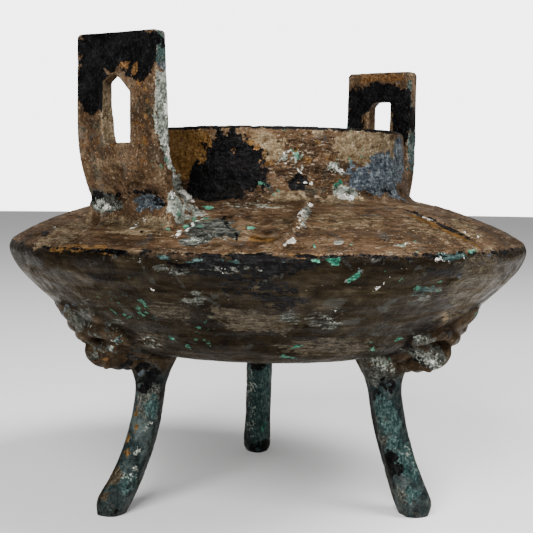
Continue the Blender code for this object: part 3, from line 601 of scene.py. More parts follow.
def handle_outline(index):
    """A handle's side view as (radius, height)."""
    reach, top, inset = HANDLE_REACHES[index], HANDLE_TOPS[index], HANDLE_WAIST_INSETS[index]
    waist = (reach - inset, shoulder_height(reach - inset) + HANDLE_WAIST_RISE)
    toe = waist[0] + HANDLE_TOES[index]
    throat = waist[0] - HANDLE_THROAT[0]
    throat = (throat, shoulder_height(throat) + HANDLE_THROAT[1])
    heel = (throat[0] - HANDLE_HEEL_RUN, shoulder_height(throat[0] - HANDLE_HEEL_RUN))
    back = (reach - HANDLE_THICKNESS, HANDLE_BEND)
    drop, climb = HANDLE_BEND - waist[1], HANDLE_BEND - throat[1]
    under_bend = (reach, HANDLE_BEND - 0.50 * drop)
    over_waist = (waist[0] + 0.45 * inset, waist[1] + 0.22 * drop)
    past_heel = (heel[0] + HANDLE_HEEL_LEADS[0], heel[1])
    under_throat = (throat[0], throat[1] - HANDLE_HEEL_LEADS[1])
    over_throat = (throat[0], throat[1] + 0.3 * climb)
    under_back = (back[0], back[1] - 0.4 * climb)
    points = [(reach, top), (reach, (top + HANDLE_BEND) / 2)]
    points += curve((reach, HANDLE_BEND), under_bend, over_waist, waist, 12)
    points += [waist, (toe, shoulder_height(toe) + HANDLE_TOE_RISE)]
    for share in (0.0, 0.33, 0.67, 1.0):
        radius = toe + share * (heel[0] - toe)
        points.append((radius, shoulder_height(radius) - WALL / 2))
    points += curve(heel, past_heel, under_throat, throat, 12)
    points += curve(throat, over_throat, under_back, back, 8)
    return points + [back, (reach - HANDLE_TOP_THICKNESS, top)]


def extruded(corners, depth):
    """A closed outline as a face, thickened by depth."""
    shape = bmesh.new()
    face = shape.faces.new([shape.verts.new(corner) for corner in corners])
    made = bmesh.ops.extrude_face_region(shape, geom=[face])
    bmesh.ops.translate(shape, verts=moved_verts(made), vec=depth)
    bmesh.ops.recalc_face_normals(shape, faces=shape.faces)
    return shape


def slot_cutter(index):
    """A handle's slot with sloped top corners, drawn a little wider towards the neck."""
    half, height = SLOT_WIDTHS[index] / 2, SLOT_HEIGHT
    (left, left_drop), (right, right_drop) = SLOT_CUTS[index]
    outline = [(-half, 0.0), (half, 0.0), (half, height - left_drop), (half - left, height)]
    outline += [(-half + right, height), (-half, height - right_drop)]
    side, reach, sill = HANDLE_SIDES[index], HANDLE_REACHES[index], SLOT_SILLS[index]
    near, far = reach + SLOT_CLEARANCES[0], reach - SLOT_CLEARANCES[1]
    corners = [(side * near, across, sill + up) for across, up in outline]
    shape = extruded(corners, (side * (far - near), 0.0, 0.0))
    low, high = SLOT_DRAFTS[index]
    inner, outer = SLOT_DRAFT_SHARES
    for vert in shape.verts:
        if vert.co.y > 0:
            draft = low + (high - low) * (vert.co.z - sill) / height
            vert.co.y += draft * (inner if abs(vert.co.x) < reach else outer)
        vert.co.y += SLOT_SHIFTS[index]
    return object_from("slot", shape)


def carve(target, cutter):
    """Cuts one closed shape out of another, and removes the cutter."""
    cut = target.modifiers.new("carve", "BOOLEAN")
    cut.operation = "DIFFERENCE"
    cut.solver = "EXACT"
    cut.object = cutter
    apply_modifiers(target)
    bpy.data.objects.remove(cutter)


def handle(index):
    """One upright handle with its flared root, rounded corners and slot."""
    side, width, top = HANDLE_SIDES[index], HANDLE_WIDTHS[index], HANDLE_TOPS[index]
    outline = [(side * radius, -width / 2, height) for radius, height in handle_outline(index)]
    shape = extruded(outline, (0.0, width, 0.0))
    corners = []
    for edge in shape.edges:
        first, second = (vert.co for vert in edge.verts)
        if min(first.z, second.z) > top - 1e-6 and abs(first.y - second.y) < 1e-6:
            corners.append(edge)
    bmesh.ops.bevel(
        shape, geom=corners, offset=HANDLE_CORNER, segments=4, affect="EDGES", profile=0.5,
        material=-1,
    )
    waist = HANDLE_REACHES[index] - HANDLE_WAIST_INSETS[index]
    root = shoulder_height(waist) + HANDLE_WAIST_RISE
    for vert in shape.verts:
        low = max(0.0, min(1.0, (root - vert.co.z) / HANDLE_WAIST_RISE))
        high = max(0.0, vert.co.z - HANDLE_BEND) / (top - HANDLE_BEND)
        vert.co.z += HANDLE_TILT * high * (0.5 + vert.co.y / width)
        vert.co.y *= 1 + 2 * HANDLE_FLARE / width * low * low
        if vert.co.y > 0:
            vert.co.y += HANDLE_SPREADS[index]
    made = object_from("handle", shape)
    carve(made, slot_cutter(index))
    return made


def root_block():
    """The stub that the handle at -X grew from: it leans towards -Y where it meets the bowl."""
    shape = bmesh.new()
    bmesh.ops.create_cube(shape, size=2.0)
    for vert in shape.verts:
        vert.co = STUB[tuple(round(c) for c in vert.co)]
    bmesh.ops.recalc_face_normals(shape, faces=shape.faces)
    return object_from("root_block", shape)


def leg_places(index):
    """Where a leg's sections lie from the floor down to the foot, how they lean and their size."""
    top = under_height(LEG_ROOT_REACH) + WALL / 2
    curl, spread = LEG_CURVES[index], LEG_FOOT_REACHES[index] - LEG_ROOT_REACH
    places = []
    for i in range(LEG_STATIONS):
        height = top + (LEG_BOTTOM - top) * (i / (LEG_STATIONS - 1)) ** 1.1
        share = 1 - min(height, FLOOR_HEIGHT) / FLOOR_HEIGHT
        slope = spread * curl * max(share, 1e-6) ** (curl - 1) / FLOOR_HEIGHT
        root = min(1.0, max(0.0, 1 - (FLOOR_HEIGHT - height) / LEG_ROOT[0]))
        foot = max(0.0, 1 - height / LEG_FOOT[0]) ** 0.5
        toe = max(0.0, 1 - height / LEG_TOE[0])
        girth = 1 + LEG_ROOT[1] * root * root + LEG_FOOT[1] * foot - LEG_TOE[1] * toe * toe
        centre = Matrix.Translation((LEG_ROOT_REACH + spread * share**curl, 0.0, height))
        lean = Matrix.Rotation(-math.atan(slope), 4, "Y")
        places.append(centre @ lean @ Matrix.Scale(LEG_RADII[index] * girth, 4))
    return places


def leg(index):
    """One leg: a ridged section carried from the floor down and outward to its foot."""
    places = leg_places(index)
    shape = bmesh.new()
    bmesh.ops.create_circle(shape, cap_ends=True, radius=1.0, segments=LEG_SIDES)
    for vert in shape.verts:
        angle = math.atan2(vert.co.y, vert.co.x)
        vert.co *= 1 + 0.05 * math.cos(4 * angle) + 0.02 * math.cos(7 * angle + index)
    bmesh.ops.transform(shape, matrix=places[0], verts=shape.verts)
    end = shape.faces[:]
    for before, after in zip(places, places[1:]):
        made = bmesh.ops.extrude_face_region(shape, geom=end)
        moved, old_end = moved_verts(made), end
        end = [f for f in made["geom"] if isinstance(f, bmesh.types.BMFace)]
        if before is not places[0]:
            bmesh.ops.delete(shape, geom=old_end, context="FACES_ONLY")
        bmesh.ops.transform(shape, matrix=after @ before.inverted(), verts=moved)
    bmesh.ops.recalc_face_normals(shape, faces=shape.faces)
    turn = Matrix.Rotation(LEG_AZIMUTHS[index], 3, "Z")
    bmesh.ops.rotate(shape, cent=(0, 0, 0), matrix=turn, verts=shape.verts)
    return object_from("leg", shape)


def dome(across, up, place, station, half_width, half_length, rise, power=2.4, turn=0.0):
    """Height of a rounded form over a mask's plane, in millimetres."""
    x, y = across - place, up - station
    c, s = math.cos(turn), math.sin(turn)
    fall = np.abs((c * x + s * y) / half_width) ** power
    fall = fall + np.abs((-s * x + c * y) / half_length) ** power
    return rise * np.maximum(0.0, 1 - fall) ** (1 / power)


def ridge(across, up, line, half, rise):
    """Height of a rounded ridge along a line of (across, up, share of width, share of rise)."""
    height = np.zeros_like(across)
    for (x0, y0, w0, h0), (x1, y1, w1, h1) in zip(line, line[1:]):
        dx, dy = x1 - x0, y1 - y0
        t = np.clip(((across - x0) * dx + (up - y0) * dy) / (dx * dx + dy * dy), 0, 1)
        gap = np.hypot(across - x0 - t * dx, up - y0 - t * dy) / (half * (w0 + (w1 - w0) * t))
        bar = rise * (h0 + (h1 - h0) * t) * np.sqrt(np.maximum(0.0, 1 - gap * gap))
        height = np.maximum(height, bar)
    return height


def mask_relief(across, up):
    """Height of a beast's face over the bowl, in millimetres, the two halves alike."""
    side = np.abs(across)
    forms = [dome(side, up, *form) for form in MASK_FORMS]
    forms.append(ridge(side, up, BROW_LINE, *BROW))
    height = sum(np.maximum(form, 0) ** 5 for form in forms) ** 0.2
    on_mask = np.hypot(across / MASK_OUTLINE[0], up / MASK_OUTLINE[1]) < 1
    height = np.maximum(height, np.where(on_mask, 0.8, -1.2))
    lid_side = np.abs((side - EYE[0]) / 5.0)
    lid_up = np.abs((up - EYE[1]) / 3.6) / np.maximum(1e-3, 1 - lid_side**2)
    lid = np.exp(-(((lid_up - 1) / 0.3) ** 2)) * np.sqrt(np.maximum(0.0, 1 - lid_side**4))
    mouth = np.exp(-(((up + 12.4 - 0.025 * side * side) / 0.6) ** 2)) * (side < 7.2)
    pit = np.exp(-(((side - NOSTRIL[0]) / 0.9) ** 2 + ((up - NOSTRIL[1]) / 0.8) ** 2))
    hairs = np.cos(math.tau * (up - 0.25 * side) / 1.4) * ridge(side, up, BROW_LINE, BROW[0], 1.0)
    curl_reach = np.hypot(side - CURL[0], up - CURL[1])
    curl_turn = np.arctan2(up - CURL[1], side - CURL[0])
    curl = np.cos(math.tau * curl_reach / 2.4 - curl_turn) * np.clip((4.4 - curl_reach), 0, 1)
    raised = height > 0.5
    height = height + raised * (lid - 0.9 * mouth * (height > 3) - 1.4 * pit)
    return height + raised * (0.25 * hairs + 0.45 * curl)


def lock_relief(across, up):
    """Height of the mane's locks that fan out over a mask's forehead, in millimetres."""
    height = np.zeros_like(across)
    side = np.abs(across)
    for degrees, length in LOCKS:
        turn = math.radians(degrees)
        start = (4.5 * math.sin(turn), 6.0 + 2.4 * math.cos(turn))
        end = (start[0] + length * math.sin(turn), start[1] + 0.8 * length * math.cos(turn))
        middle = ((start[0] + end[0]) / 2 + 0.6, (start[1] + end[1]) / 2)
        line = ((*start, 0.8, 1.0), (*middle, 1.0, 0.9), (*end, 0.45, 0.4))
        height = np.maximum(height, ridge(side, up, line, *LOCK))
    return height


def scroll_relief(across, up):
    """Height of the low scrolls that trail from one side of the mask at 156 degrees."""
    lower = ridge(across, up, LOWER_SCROLL_LINE, *LOWER_SCROLL)
    return np.maximum(lower, ridge(across, up, UPPER_SCROLL_LINE, *UPPER_SCROLL))


def mask(index):
    """A grid laid on the bowl's side and raised into a beast's face, thickened into the wall."""
    line = traced(bowl_curves()[:2], 80)
    stations = np.concatenate([[0.0], np.cumsum(np.linalg.norm(np.diff(line, axis=0), axis=1))])
    middle = stations[np.argmax(line[:, 0] >= MASK_REACH)]
    shape = bmesh.new()
    bmesh.ops.create_grid(shape, x_segments=MASK_CELLS[0], y_segments=MASK_CELLS[1], size=1.0)
    bmesh.ops.scale(shape, verts=shape.verts, vec=(*MASK_SHEET, 1.0))
    front = set(moved_verts(bmesh.ops.extrude_face_region(shape, geom=shape.faces[:])))
    verts = list(shape.verts)
    flat = np.array([v.co for v in verts])
    across, up = flat[:, 0] / MM, flat[:, 1] / MM
    height = np.maximum(mask_relief(across, up), lock_relief(across, up) - 0.2)
    if index == 0:
        height = np.maximum(height, scroll_relief(across, up) - 0.2)
    lift = np.where([v in front for v in verts], height * MM, -0.8 * WALL)
    place = np.clip(middle + flat[:, 1], 0, stations[-1])
    columns = np.hstack([line, np.gradient(line, stations, axis=0)]).T
    radius, level, run, rise = (np.interp(place, stations, column) for column in columns)
    steep = np.hypot(run, rise)
    radius, level = radius + lift * rise / steep, level - lift * run / steep
    turn = LEG_AZIMUTHS[index] + flat[:, 0] / MASK_REACH
    for vert, r, z, angle in zip(verts, radius.tolist(), level.tolist(), turn.tolist()):
        vert.co = (r * math.cos(angle), r * math.sin(angle), z)
    bmesh.ops.recalc_face_normals(shape, faces=shape.faces)
    return object_from("mask", shape)


def camera():
    """The photograph's view, from a level between the bowl's edge and the rim."""
    yaw, pitch, roll = CAMERA_YAW, CAMERA_PITCH, CAMERA_ROLL
    level = math.cos(pitch)
    ahead = Vector((math.sin(yaw) * level, math.cos(yaw) * level, -math.sin(pitch)))
    right = ahead.cross(Vector((0, 0, 1))).normalized()
    up = right.cross(ahead)
    tilted_right = math.cos(roll) * right + math.sin(roll) * up
    tilted_up = math.cos(roll) * up - math.sin(roll) * right
    place = Matrix((tilted_right, tilted_up, -ahead)).transposed().to_4x4()
    place.translation = Vector(CAMERA_PLACE)
    data = bpy.data.cameras.new("camera")
    data.sensor_width = SENSOR
    data.lens = CAMERA_FOCUS * SENSOR / FRAME_SIZE
    data.clip_start = 0.01
    made = placed("camera", data)
    made.matrix_world = Matrix.Rotation(CAMERA_AZIMUTH, 4, "Z") @ place
    bpy.context.scene.camera = made


def welded(solids):
    """All the solids joined in one closed skin."""
    casting = bmesh.new()
    for solid in solids:
        casting.from_mesh(solid.data)
        bpy.data.objects.remove(solid)
    made = object_from("vessel", casting)
    weld = made.modifiers.new("weld", "REMESH")
    weld.mode = "VOXEL"
    weld.voxel_size = VOXEL
    apply_modifiers(made)
    return made


def stored(rows, name, width, kind=np.float32):
    """What a mesh stores under a name for its points or edges, a row for each."""
    flat = np.empty(len(rows) * width, dtype=kind)
    rows.foreach_get(name, flat)
    return flat.reshape(-1, width)


def positions(mesh):
    return stored(mesh.vertices, "co", 3).astype(float)


def normals(mesh):
    return stored(mesh.vertices, "normal", 3).astype(float)


def neighbours(mesh):
    """The two ends of every edge, each way round."""
    ends = stored(mesh.edges, "vertices", 2, np.int32)
    return np.concatenate([ends[:, 0], ends[:, 1]]), np.concatenate([ends[:, 1], ends[:, 0]])


def write_positions(mesh, points):
    mesh.vertices.foreach_set("co", points.astype(np.float32).ravel())
    mesh.update()


def write_reading(mesh, name, values, kind="FLOAT", field="value"):
    """Stores a number or a vector for each point, for the finish to read."""
    reading = mesh.attributes.new(name, kind, "POINT")
    reading.data.foreach_set(field, values.astype(np.float32).ravel())


def relaxed(values, ends, weight, rounds):
    """Values eased towards the mean of their neighbours' values."""
    first, second = ends
    count, width = values.shape
    shared = 1.0 / np.maximum(1, np.bincount(first, minlength=count))
    for _ in range(rounds):
        means = [np.bincount(first, values[second, k], count) * shared for k in range(width)]
        values = values + weight * (np.stack(means, 1) - values)
    return values


def step(low, high, value):
    """Smoothly from 0 at low to 1 at high."""
    t = np.clip((value - low) / (high - low), 0, 1)
    return t * t * (3 - 2 * t)


def clouds(points, size, octaves, shift):
    """Soft noise from about -1 to 1, in lumps of a size in millimetres."""
    places = (points / (size * MM) + shift).tolist()
    return np.array([noise.fractal(place, 1.0, 2.0, octaves) for place in places])


def reaches(points):
    """Each point's distance from the vessel's axis."""
    return np.hypot(points[:, 0], points[:, 1])


def scattered_patches(points, facing):
    """Patches of every coat for the sides that the photograph doesn't show."""
    camera_side = np.array(bpy.context.scene.camera.location.xy.normalized())
    behind = (points[:, :2] @ camera_side < UNSEEN_BEYOND) & (facing[:, :2] @ camera_side < 0)
    inside = np.sum(points[:, :2] * facing[:, :2], 1) < 0
    inside &= (points[:, 2] > FLOOR_HEIGHT + WALL) & (reaches(points) < NECK_ROOT_RADIUS)
    unseen = np.flatnonzero(behind | inside)
    found = []
    for coat, count, size in SCATTER:
        for _ in range(count):
            place = (points[random.choice(unseen)] / MM).tolist()
            along = size * random.uniform(0.5, 1.5)
            across = along * random.uniform(0.25, 0.7)
            degrees, strength = random.uniform(-30, 30), random.uniform(0.7, 1.0)
            found.append((coat, (*place, along, across, degrees, strength)))
    return found


def coats_on(points, facing, patches):
    """How thickly each coat lies on each point, covering at 1; a patch keeps to its own face."""
    thick = {coat: np.zeros(len(points)) for coat in PATCHES}
    places = points / MM
    for size, reach in STRAYING:
        strays = [noise.noise_vector(place) for place in (places / size).tolist()]
        places = places + reach * np.array(strays)
    columns = places.T.astype(np.float32).copy()
    for coat, (x, y, z, along, across, degrees, strength) in patches:
        reach = 1.3 * max(along, across)
        near = np.abs(columns[0] - np.float32(x)) < reach
        near &= np.abs(columns[1] - np.float32(y)) < reach
        near &= np.abs(columns[2] - np.float32(z)) < reach
        near = np.flatnonzero(near)
        if not len(near):
            continue
        middle = near[np.argmin(np.linalg.norm(points[near] / MM - (x, y, z), axis=1))]
        strength = strength * step(0.1, 0.6, facing[near] @ facing[middle])
        away = places[near] - (x, y, z)
        reach = math.hypot(x, y)
        around = (x * away[:, 1] - y * away[:, 0]) / reach
        out = (x * away[:, 0] + y * away[:, 1]) / reach
        climb = np.copysign(np.hypot(out, away[:, 2]), away[:, 2])
        c, s = math.cos(math.radians(degrees)), math.sin(math.radians(degrees))
        far = np.hypot((c * around + s * climb) / along, (c * climb - s * around) / across)
        thick[coat][near] = np.maximum(thick[coat][near], strength * np.clip(1.5 - far * far, 0, 1))
    return thick


def seam(points, line):
    """Distance in millimetres from a line of places on the vessel."""
    gap = np.full(len(points), 99.0)
    near = np.abs(points / MM - np.mean(line, axis=0)).max(1) < 40
    gap[near] = line_place(points[near] / MM, line)[1]
    return gap


def bowl_stations():
    """Stations in millimetres of the bowl's sharp edge, of the neck's root and of the rim."""
    root = (NECK_ROOT_RADIUS + NECK_FILLET, NECK_ROOT_HEIGHT)
    rim = (RIM_RADIUS, RIM_HEIGHT - RIM_ROUND)
    return line_place(np.array([CREASE, root, rim]), outer_line())[0] / MM


def bowl_place(points):
    """Each point's station along the bowl's outside and height off it in millimetres, then
    how far it is away from the bowl and how far on the neck, from 0 to 1."""
    outside = np.stack([reaches(points), points[:, 2]], 1)
    station, gap, side = line_place(outside, outer_line())
    station, off = station / MM, -side * gap / MM
    away = step(0.6, 2.0, off)
    neck = bowl_stations()[1]
    return station, off, away, step(neck - 2, neck + 1, station) * (1 - away)


def weather(vessel, patches):
    """Rounds the skin's corners, then raises and pits it as cast and buried bronze is.

    Gives back the points inside the bowl."""
    mesh = vessel.data
    points = positions(mesh)
    station, off, away, on_neck = bowl_place(points)
    edge = bowl_stations()[0]
    upper = step(*HANDLES_FROM, points[:, 2]) * step(*HANDLES_BEYOND, reaches(points))
    points = relaxed(points, neighbours(mesh), (0.5 - 0.38 * upper)[:, None], EASING_ROUNDS)
    on_shoulder = step(edge - 1, edge + 2, station) * (1 - away)
    under = (1 - step(edge - 2, edge, station)) * (1 - away)
    thick = coats_on(points, normals(mesh), patches)
    rough = 0.40 + 0.45 * on_neck + 0.20 * away * (1 - upper) - 0.20 * under
    smooth = np.maximum(np.maximum(thick["soot"], thick["ochre"]), thick["slate"])
    rough = np.clip(0.6 * rough + 0.6 * thick["chips"] - 0.35 * smooth, 0.08, 1.0)
    theta = np.arctan2(points[:, 1], points[:, 0])
    lay = np.stack([np.cos(theta) * 14, np.sin(theta) * 14, station / 2.6], 1) * MM
    lumps = LUMPS - (LUMPS - HANDLE_LUMPS) * upper
    rise = DENTS * clouds(points, 30, 2, 3.0) + lumps * clouds(points, 9, 3, 11.0)
    grain = clouds(points, 2.6, 3, 23.0)
    rise += rough * (GRAIN * grain - PITS * step(0.22, 0.62, clouds(points, 3.4, 2, 31.0)))
    rise += STROKES * on_shoulder * (1 - on_neck) * clouds(lay, 1, 3, 5.0)
    crust = thick["crust"] * (CRUST_RISE + CRUST_GRAIN * grain)
    rise += crust + thick["malachite"] * (MALACHITE_RISE + MALACHITE_GRAIN * grain)
    for line, half, height in SEAMS:
        fold = height * np.exp(-((seam(points, line) / half) ** 2))
        rise += fold * (1 + SEAM_GRAIN * grain)
    write_positions(mesh, points)
    points = points + (rise * MM)[:, None] * normals(mesh)
    points[:, 2] = np.maximum(points[:, 2], 0.0)
    write_positions(mesh, points)
    return np.flatnonzero(off < -1.5)


def thin_out(vessel, inside):
    """Merges triangles, first and most of all inside the bowl, then where the skin is flat."""
    group = vessel.vertex_groups.new(name="hidden")
    group.add(inside.tolist(), 1.0, "REPLACE")
    count = 2 * len(vessel.data.vertices)
    kept = count - 2 * len(inside) + TRIANGLES_INSIDE
    for ratio, chosen in ((kept / count, "hidden"), (TRIANGLES / kept, "")):
        merge = vessel.modifiers.new("merge", "DECIMATE")
        merge.ratio = min(1.0, ratio)
        merge.use_collapse_triangulate = True
        merge.vertex_group = chosen
    apply_modifiers(vessel)
    vessel.vertex_groups.clear()


def take_readings(vessel, patches):
    """What the finish needs to know about each point of the skin."""
    mesh = vessel.data
    points, facing, ends = positions(mesh), normals(mesh), neighbours(mesh)
    station, off, away, on_neck = bowl_place(points)
    edge, _, rim = bowl_stations()
    thick = coats_on(points, facing, patches)
    lip = 0.8 * step(rim - 0.8, rim + 0.3, station) * (1 - away)
    crease = 0.55 * np.exp(-(((station - edge + 0.6) / 1.3) ** 2)) * (1 - away)
    thick["soot"] = np.maximum(np.maximum(thick["soot"], lip), crease)
    broad = relaxed(points, ends, 1.0, 5)
    sunk = relaxed(np.sum((broad - points) * facing, 1)[:, None] / MM, ends, 0.5, 1)[:, 0]
    legs = away * step(*LEGS_BELOW, points[:, 2])
    under = (1 - step(edge - 1, edge, station)) * (1 - away)
    readings = {
        **thick,
        "hollow": np.clip(sunk / SHARP, 0, 1),
        "edge": np.clip(-sunk / SHARP - 0.4, 0, 1),
        "neck": on_neck,
        "under": np.maximum(under, 0.75 * away * step(*UNDER_BELOW, points[:, 2])),
        "inside": step(-1.2, -2.4, off),
        "away": away,
        "legs": legs,
    }
    for name, values in readings.items():
        write_reading(mesh, name, values)
    across, upward = 6.0 - 4.2 * away - 0.3 * legs, 1.8 + 3.0 * legs
    height = np.where(away > 0.5, points[:, 2] / MM / upward, station / 1.2)
    lay = np.stack([points[:, 0] / MM / across, points[:, 1] / MM / across, height], 1)
    write_reading(mesh, "lay", lay, "FLOAT_VECTOR", "vector")


class Finish:
    """Builds one material, layer over layer."""

    def __init__(self, name):
        self.material = bpy.data.materials.new(name)
        self.material.use_nodes = True
        self.tree = self.material.node_tree
        self.shader = self.tree.nodes["Principled BSDF"]
        self.place = self.add("TexCoord").outputs["Object"]

    def add(self, kind, inputs=(), **settings):
        made = self.tree.nodes.new("ShaderNode" + kind)
        for name, value in settings.items():
            setattr(made, name, value)
        for key, value in dict(inputs).items():
            if isinstance(value, bpy.types.NodeSocket):
                self.tree.links.new(value, made.inputs[key])
            else:
                made.inputs[key].default_value = value
        return made

    def reading(self, name):
        return self.add("Attribute", attribute_name=name).outputs["Fac"]

    def math(self, operation, *values):
        return self.add("Math", dict(enumerate(values)), operation=operation).outputs[0]

    def product(self, *amounts):
        return self.math("MULTIPLY", *amounts)

    def either(self, *amounts):
        return self.math("MAXIMUM", *amounts)

    def rest(self, amount):
        """What an amount leaves of 1."""
        return self.math("SUBTRACT", 1.0, amount)

    def sum(self, *shares):
        """Amounts added up, each times its share."""
        total = 0.0
        for amount, share in shares:
            total = self.math("MULTIPLY_ADD", amount, share, total)
        return total

    def mottle(self, size, detail, roughness, shift=0.0, warp=0.0):
        """Three independent noises from 0 to 1, with lumps of a size in millimetres."""
        moved = self.add("VectorMath", {0: self.place, 1: (shift,) * 3}, operation="ADD")
        return self.noises(moved.outputs[0], 1 / (size * MM), detail, roughness, warp)

    def noises(self, vector, scale, detail, roughness, warp=0.0):
        inputs = {"Vector": vector, "Scale": scale, "Detail": detail, "Roughness": roughness}
        made = self.add("TexNoise", {**inputs, "Distortion": warp}).outputs["Color"]
        parts = self.add("SeparateColor", {0: made}).outputs
        spread = [self.add("MapRange", {0: part, 1: 0.30, 2: 0.70}) for part in parts]
        return [made.outputs["Result"] for made in spread]

    def ramp(self, amount, low, high, least=0.0, most=1.0):
        inputs = dict(enumerate((amount, low, high, least, most)))
        return self.add("MapRange", inputs, interpolation_type="SMOOTHSTEP").outputs["Result"]

    def over(self, under, colour, cover, blend="MIX"):
        """A colour laid over another where cover is 1."""
        inputs = {0: cover, 6: under, 7: colour}
        return self.add("Mix", inputs, data_type="RGBA", blend_type=blend).outputs[2]

    def between(self, first, second, share):
        return self.add("Mix", {0: share, 2: first, 3: second}).outputs[0]

    def tones(self, amount, *stops):
        """Colours run through from one to the next as amount rises."""
        made = self.add("ValToRGB", {0: amount})
        elements = made.color_ramp.elements
        while len(elements) < len(stops):
            elements.new(0.5)
        for element, (place, colour) in zip(elements, stops):
            element.position = place
            element.color = (*colour, 1.0)
        return made.outputs["Color"]


def patinated_bronze():
    """Brown cast bronze under soot, slate, earth, lime crust and green copper salts."""
    finish = Finish("patinated_bronze")
    broad = finish.mottle(24, 3, 0.55)
    lumps = finish.mottle(6, 5, 0.62, 1.0, 0.5)
    crumbs = finish.mottle(1.9, 4, 0.65, 2.0, 0.3)
    grit = finish.mottle(0.8, 2, 0.6, 3.0)
    even = finish.mottle(2.2, 4, 0.65, 4.0, 0.4)
    lay = finish.add("Attribute", attribute_name="lay").outputs["Vector"]
    strokes = finish.noises(lay, 1.0, 4, 0.62, 0.4)
    sweeps = finish.noises(lay, 0.3, 5, 0.6, 0.6)
    lines = finish.noises(lay, 2.4, 3, 0.6, 0.3)
    inside, under, away, neck = map(finish.reading, ("inside", "under", "away", "neck"))
    hollow, edge, legs, chips = map(finish.reading, ("hollow", "edge", "legs", "chips"))
    evened = finish.product(finish.either(neck, away), 0.8)
    strokes = [finish.between(a, b, evened) for a, b in zip(strokes, even)]

    mixed = finish.sum((strokes[0], 0.34), (sweeps[0], 0.26), (lumps[0], 0.22), (broad[0], 0.18))
    calm = finish.sum((strokes[0], 0.20), (sweeps[0], 0.20), (lumps[0], 0.32), (broad[0], 0.28))
    colour = finish.tones(mixed, *BRONZE)
    # Under the bowl's edge and low on the masks: darker bronze, partly its patina, partly painted
    # shade
    colour = finish.over(colour, finish.tones(calm, *UNDERSIDE_BRONZE_AND_SHADE), finish.product(under, 0.95))
    colour = finish.over(colour, finish.tones(mixed, *GREEN_BLACK), finish.product(legs, 0.95))
    colour = finish.over(colour, GREY_FILM, finish.ramp(lumps[2], 0.70, 0.86, 0.0, 0.45))
    # Pale flecks and fine strokes, fewer under the edge and on the legs: partly dust, partly
    # painted highlights
    dust_and_highlights = ((lines[1], 0.5), (grit[2], 0.20), (strokes[2], 0.30))
    dust_and_highlights = finish.sum(*dust_and_highlights, (under, -0.14), (chips, 0.06), (legs, -0.12))
    colour = finish.over(colour, DUST_AND_HIGHLIGHTS, finish.ramp(dust_and_highlights, 0.67, 0.77, 0.0, 0.7))
    chipped = ((lines[2], 0.5), (grit[0], 0.2), (strokes[0], 0.3))
    chipped = finish.sum(*chipped, (under, -0.12), (chips, 0.10))
    colour = finish.over(colour, DARK_CHIPS, finish.ramp(chipped, 0.64, 0.74, 0.0, 0.85))

    covers = {}
    for order, (coat, *tones) in enumerate(COATS):
        one, two, three = order % 3, (order + 1) % 3, (order + 2) % 3
        fray = FINE_FRAY if coat in FINE_COATS else BROAD_FRAY
        noises = (sweeps[one], strokes[two], lumps[three], crumbs[one], grit[two])
        ragged = finish.math("SUBTRACT", finish.sum(*zip(noises, fray)), 0.975)
        amount = finish.math("ADD", finish.reading(coat), ragged)
        near = finish.ramp(finish.reading(coat), 0.0, 0.12)
        covers[coat] = finish.product(finish.ramp(amount, 0.46, 0.56), near)
        own = ((crumbs[three], 0.20), (grit[two], 0.25), (strokes[one], 0.30), (lines[two], 0.25))
        tone = finish.tones(finish.sum(*own), *zip(COAT_STOPS, tones))
        colour = finish.over(colour, tone, covers[coat])

    stray = finish.sum((broad[1], 0.35), (lumps[1], 0.35), (crumbs[2], 0.30))
    colour = finish.over(colour, GREEN_SPECKS, finish.ramp(stray, 0.77, 0.80, 0.0, 0.8))
    colour = finish.over(colour, HOLLOW_SHADE, finish.product(hollow, 0.8), "MULTIPLY")
    bare = finish.product(finish.rest(covers["soot"]), finish.rest(under))
    worn = finish.product(finish.product(edge, bare), finish.ramp(grit[0], 0.45, 0.75))
    colour = finish.over(colour, WORN_METAL, finish.product(worn, 0.4))
    colour = finish.over(colour, INSIDE_SHADE, finish.product(inside, 0.8), "MULTIPLY")

    mineral = finish.either(covers["crust"], covers["malachite"])
    gloss = finish.ramp(lumps[1], 0.25, 0.75, 0.32, 0.56)
    gloss = finish.between(gloss, 0.32, finish.product(covers["soot"], 0.7))
    gloss = finish.between(gloss, 0.80, mineral)
    shine = finish.product(finish.rest(mineral), finish.ramp(sweeps[1], 0.2, 0.8, 0.25, 0.75))
    proud = finish.sum((crumbs[2], 0.6), (strokes[0], 0.4))
    depth = finish.math("ADD", 0.5, finish.product(finish.either(neck, away), 0.4))
    coarse = finish.add("Bump", {"Strength": depth, "Distance": 0.0006, "Height": proud}).outputs[0]
    inputs = {"Strength": 0.5, "Distance": 0.00018, "Height": grit[1], "Normal": coarse}
    fine = finish.add("Bump", inputs).outputs[0]
    sockets = {"Base Color": colour, "Roughness": gloss, "Metallic": shine, "Normal": fine}
    for name, value in sockets.items():
        finish.tree.links.new(value, finish.shader.inputs[name])
    finish.shader.inputs["Specular IOR Level"].default_value = 0.14
    finish.shader.inputs["Specular Tint"].default_value = SHEEN_TINT
    return finish.material


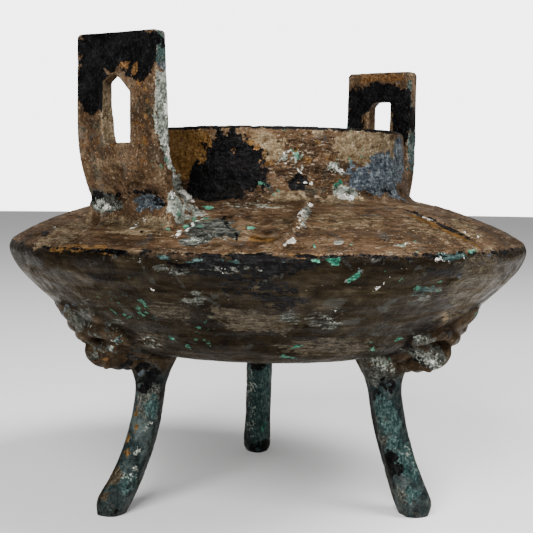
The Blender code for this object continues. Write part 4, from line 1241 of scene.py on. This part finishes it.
def floor():
    """A plain pale floor."""
    shape = bmesh.new()
    bmesh.ops.create_circle(shape, cap_ends=True, radius=FLOOR_EXTENT, segments=96)
    made = object_from("floor", shape)
    pale = bpy.data.materials.new("pale_floor")
    pale.use_nodes = True
    inputs = pale.node_tree.nodes["Principled BSDF"].inputs
    inputs["Base Color"].default_value = FLOOR_COLOUR
    inputs["Roughness"].default_value = 0.9
    inputs["Emission Color"].default_value = WHITE
    inputs["Emission Strength"].default_value = FLOOR_GLOW
    made.data.materials.append(pale)


def lamp(name, place, size, power):
    """A square soft light aimed at the vessel's middle."""
    data = bpy.data.lights.new(name, "AREA")
    data.size = size
    data.energy = power
    aim = (Vector(LAMPS_AIM) - Vector(place)).to_track_quat("-Z", "Y").to_matrix().to_4x4()
    placed(name, data).matrix_world = Matrix.Translation(place) @ aim


def studio():
    """A dim soft room with a white backdrop, a lamp above at the right and one at the left."""
    world = bpy.data.worlds.new("studio")
    world.use_nodes = True
    tree = world.node_tree
    room = tree.nodes["Background"]
    room.inputs["Color"].default_value = WHITE
    room.inputs["Strength"].default_value = ROOM_LIGHT
    backdrop = tree.nodes.new("ShaderNodeBackground")
    backdrop.inputs["Strength"].default_value = BACKDROP_LIGHT
    seen = tree.nodes.new("ShaderNodeLightPath")
    mix = tree.nodes.new("ShaderNodeMixShader")
    tree.links.new(seen.outputs["Is Camera Ray"], mix.inputs[0])
    tree.links.new(room.outputs[0], mix.inputs[1])
    tree.links.new(backdrop.outputs[0], mix.inputs[2])
    tree.links.new(mix.outputs[0], tree.nodes["World Output"].inputs["Surface"])
    bpy.context.scene.world = world
    lamp("key", *KEY_LAMP)
    lamp("fill", *FILL_LAMP)


camera()
vessel = welded(
    [bowl_and_neck(), root_block(), handle(0), handle(1)]
    + [leg(i) for i in range(3)]
    + [mask(i) for i in range(3)]
)
patches = [(coat, patch) for coat, rows in PATCHES.items() for patch in rows]
patches += scattered_patches(positions(vessel.data), normals(vessel.data))
thin_out(vessel, weather(vessel, patches))
take_readings(vessel, patches)
vessel.data.shade_smooth()
vessel.data.materials.clear()
vessel.data.materials.append(patinated_bronze())
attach(vessel, "root")
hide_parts("tripod_vessel")
floor()
studio()
